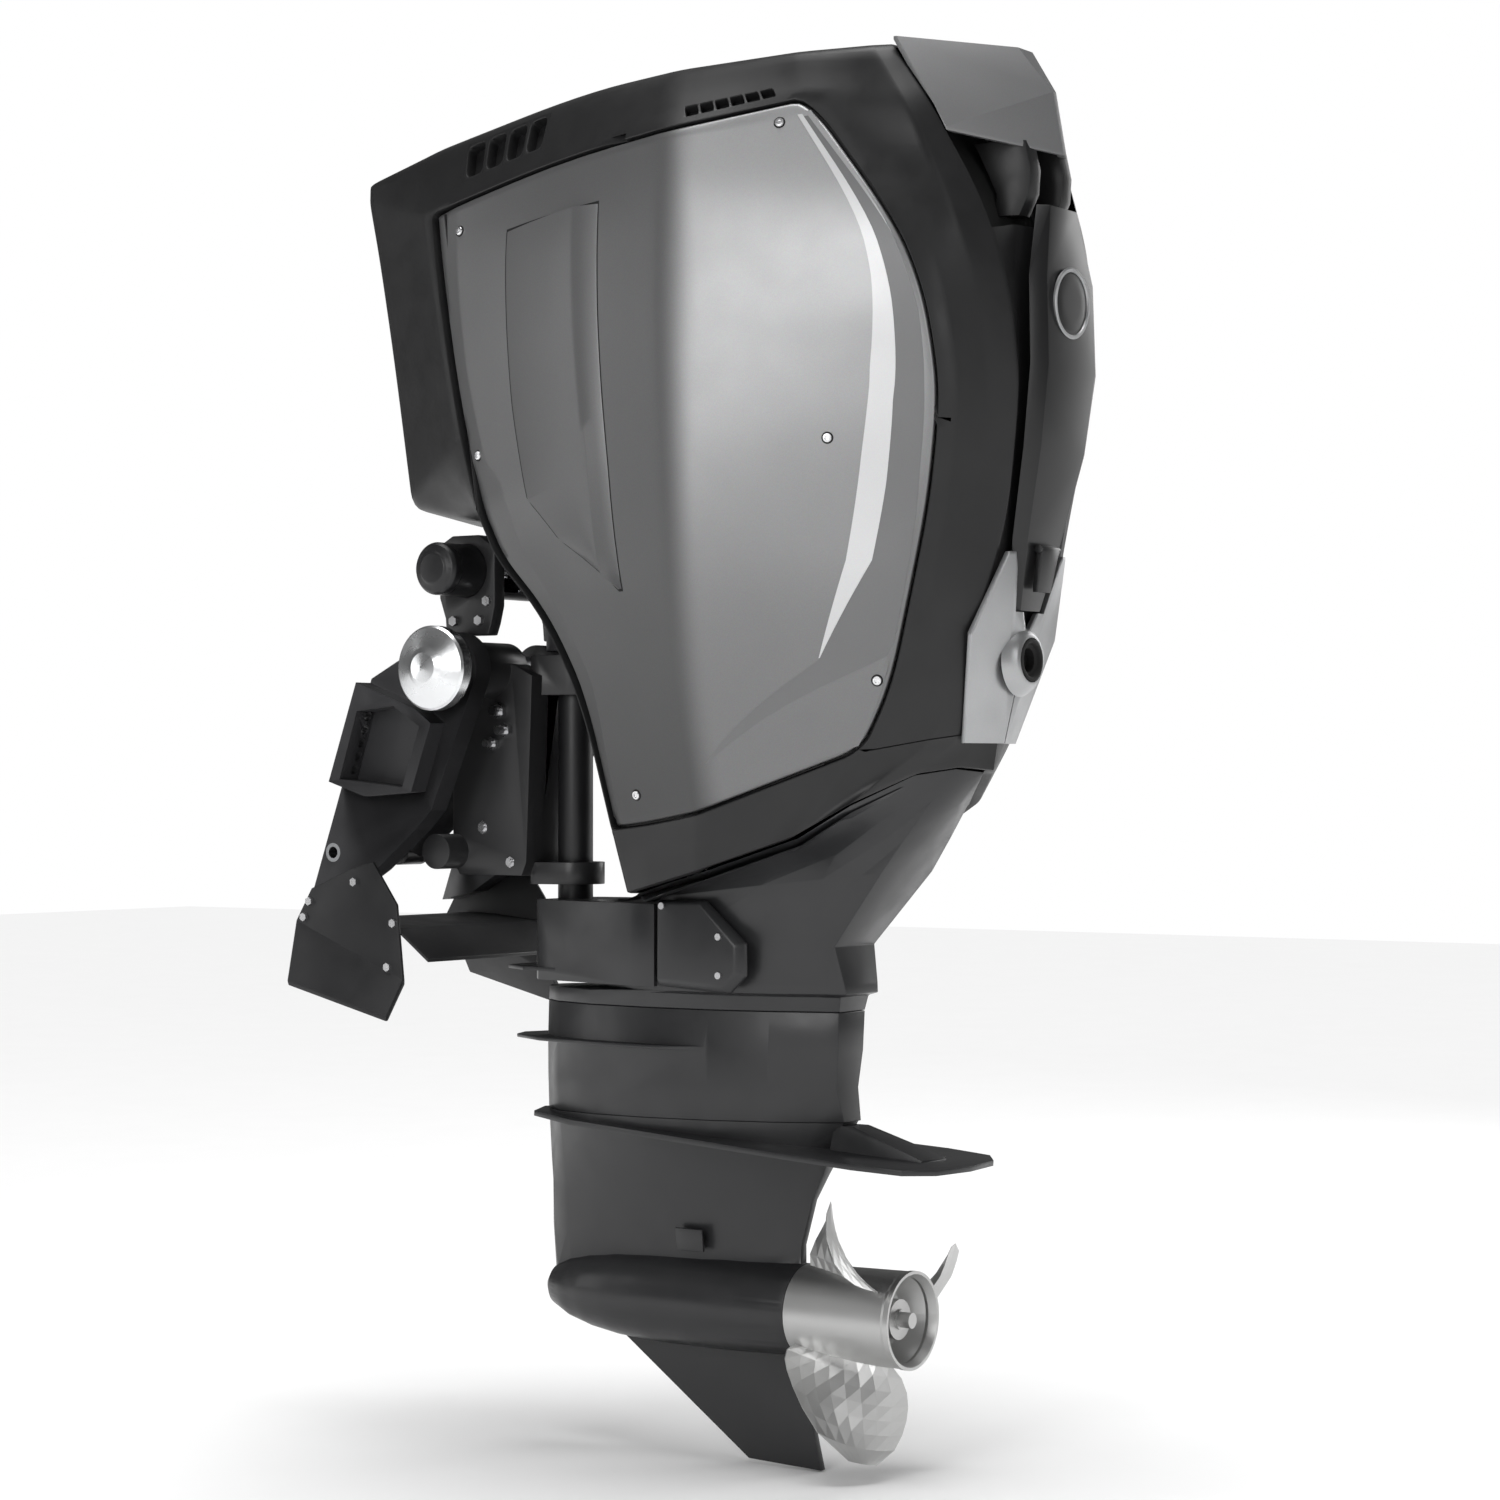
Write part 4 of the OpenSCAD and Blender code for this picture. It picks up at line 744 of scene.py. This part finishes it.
# round pieces at the back
BADGE, BADGE_AXIS = (0, -1.0002, 0.441), (0, -1, -0.028)
FLUSH, AFT = (0, -0.938, 0), (0, -1, 0)
lathe("rear_badge_ring", [(44, -1.5), (44, 1.2), (43, 2.0), (39.5, 2.0), (38.6, 0.8), (38.2, -1.5)], BADGE,
      BADGE_AXIS, "bezel_silver", "motor", ("rear_badge",), count=96)
lathe("rear_badge_face", [(0, 0.9), (20, 0.8), (36, 0.4), (38.6, -0.2), (38.6, -2), (0, -2)], BADGE,
      BADGE_AXIS, "rear_black", "motor", count=96)
lathe("flush_port_shown", [(27, -14), (27, 5), (26, 6.6), (23.5, 7), (21.5, 6), (20, 2), (16.2, 1), (15, 0),
                           (15, -12), (0, -12), (0, -14)], FLUSH, AFT, "rubber_black", "motor",
      ("flush_port",), count=72)
lathe("flush_boss", [(27.5, -12), (46, -12), (40, -3), (34, 3), (30, 5.6), (28, 5.6), (27.5, 4.5)], FLUSH, AFT,
      "bezel_silver", "motor", count=72)

# ---------------------------------------------------------------- cast and pressed pieces, edges rounded
EDGES = (                           # node, width of the rounding in mm, least angle that is rounded
    ("top_cap", 3.0, 12), ("rear_panel", 1.6, 12), ("rear_bezel_port", 2.0, 25),
    ("rear_bezel_starboard", 2.0, 25), ("latch_handle", 1.5, 25), ("clamp_bracket_port", 2.0, 30),
    ("clamp_bracket_starboard", 2.0, 30), ("guard_plate_port", 1.0, 20), ("cross_shield", 1.0, 12),
    ("guard_plate_starboard", 1.0, 20), ("swivel_bracket", 2.2, 25), ("steering_support_arms", 1.6, 25),
    ("steering_cylinder_caps", 1.2, 30), ("steering_arm", 2.0, 25), ("upper_yoke", 2.5, 25),
    ("lower_yoke", 2.5, 25), ("mount_cover_port", 2.5, 22), ("mount_cover_starboard", 2.5, 22),
    ("bearing_carrier", 0.8, 30), ("water_inlet_covers", 0.8, 30), ("tilt_cylinder", 1.2, 30),
    ("extension_housing", 1.0, 40), ("midsection", 1.2, 35), ("gearcase", 1.0, 40))
for n, width, angle in EDGES:
    refine(n, None, width, 2, angle)
refine("king_pin", "ram_black", 1.0, 2, 30)


# ---------------------------------------------------------------- stage, light, camera
def area(name, place, target, size, power, tint=(1, 1, 1)):
    data = bpy.data.lights.new(name, "AREA")
    data.shape = "RECTANGLE"
    data.size, data.size_y = size
    data.energy = power
    data.color = tint
    ob = bpy.data.objects.new(name, data)
    scene.collection.objects.link(ob)
    ob.location = place
    ob.rotation_mode = "QUATERNION"
    ob.rotation_quaternion = (Vector(target) - Vector(place)).to_track_quat("-Z", "Y")
    return ob


floor_z = cad_lo.z - 0.002
half = 14               # half the floor's width, in metres
corners = [(-half, -half), (half, -half), (half, half), (-half, half)]
floor = make("floor", [(x, y, floor_z) for x, y in corners], [(0, 1, 2, 3)], "cap_grey", "motor")
floor.parent = None
del floor["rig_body"]
floor.data.materials[0] = material("floor", (0.9, 0.9, 0.9), 0.8, spec=0.1, mottle=0.005)

world = bpy.data.worlds.new("studio")
scene.world = world
world.use_nodes = True
wt = world.node_tree
bg = wt.nodes["Background"]
bg.inputs["Color"].default_value = (1, 1, 1, 1)
path = wt.nodes.new("ShaderNodeLightPath")
ramp = wt.nodes.new("ShaderNodeMapRange")
ramp.inputs["To Min"].default_value = 0.12
ramp.inputs["To Max"].default_value = 1.0
wt.links.new(path.outputs["Is Camera Ray"], ramp.inputs["Value"])
wt.links.new(ramp.outputs["Result"], bg.inputs["Strength"])

sun = bpy.data.lights.new("sky_light", "SUN")
sun.energy = 2.9
sun.angle = math.radians(50)
sun_ob = bpy.data.objects.new("sky_light", sun)
scene.collection.objects.link(sun_ob)
area("key_port", (-4.4, -1.0, 1.2), (0, -0.6, 0.1), (1.6, 2.4), 62)
area("fill_aft", (-1.4, -4.8, 1.0), (0, -0.6, 0.0), (1.2, 2.2), 22)
area("rim_fore", (-2.4, 3.4, 0.6), (0, -0.3, 0.0), (1.0, 2.4), 14)
area("starboard", (4.2, -1.6, 1.2), (0, -0.6, 0.0), (1.8, 2.4), 50)

cam = bpy.data.cameras.new("camera")
cam.lens = 81.6
cam.sensor_width = 36
cam.shift_y = 0.02
cam_ob = bpy.data.objects.new("camera", cam)
scene.collection.objects.link(cam_ob)
cam_ob.location = (-3.699, -3.067, -0.150)
cam_ob.rotation_mode = "QUATERNION"
cam_ob.rotation_quaternion = Vector((0.8231, 0.5678, 0)).to_track_quat("-Z", "Y")
cam.clip_end = 60
scene.camera = cam_ob
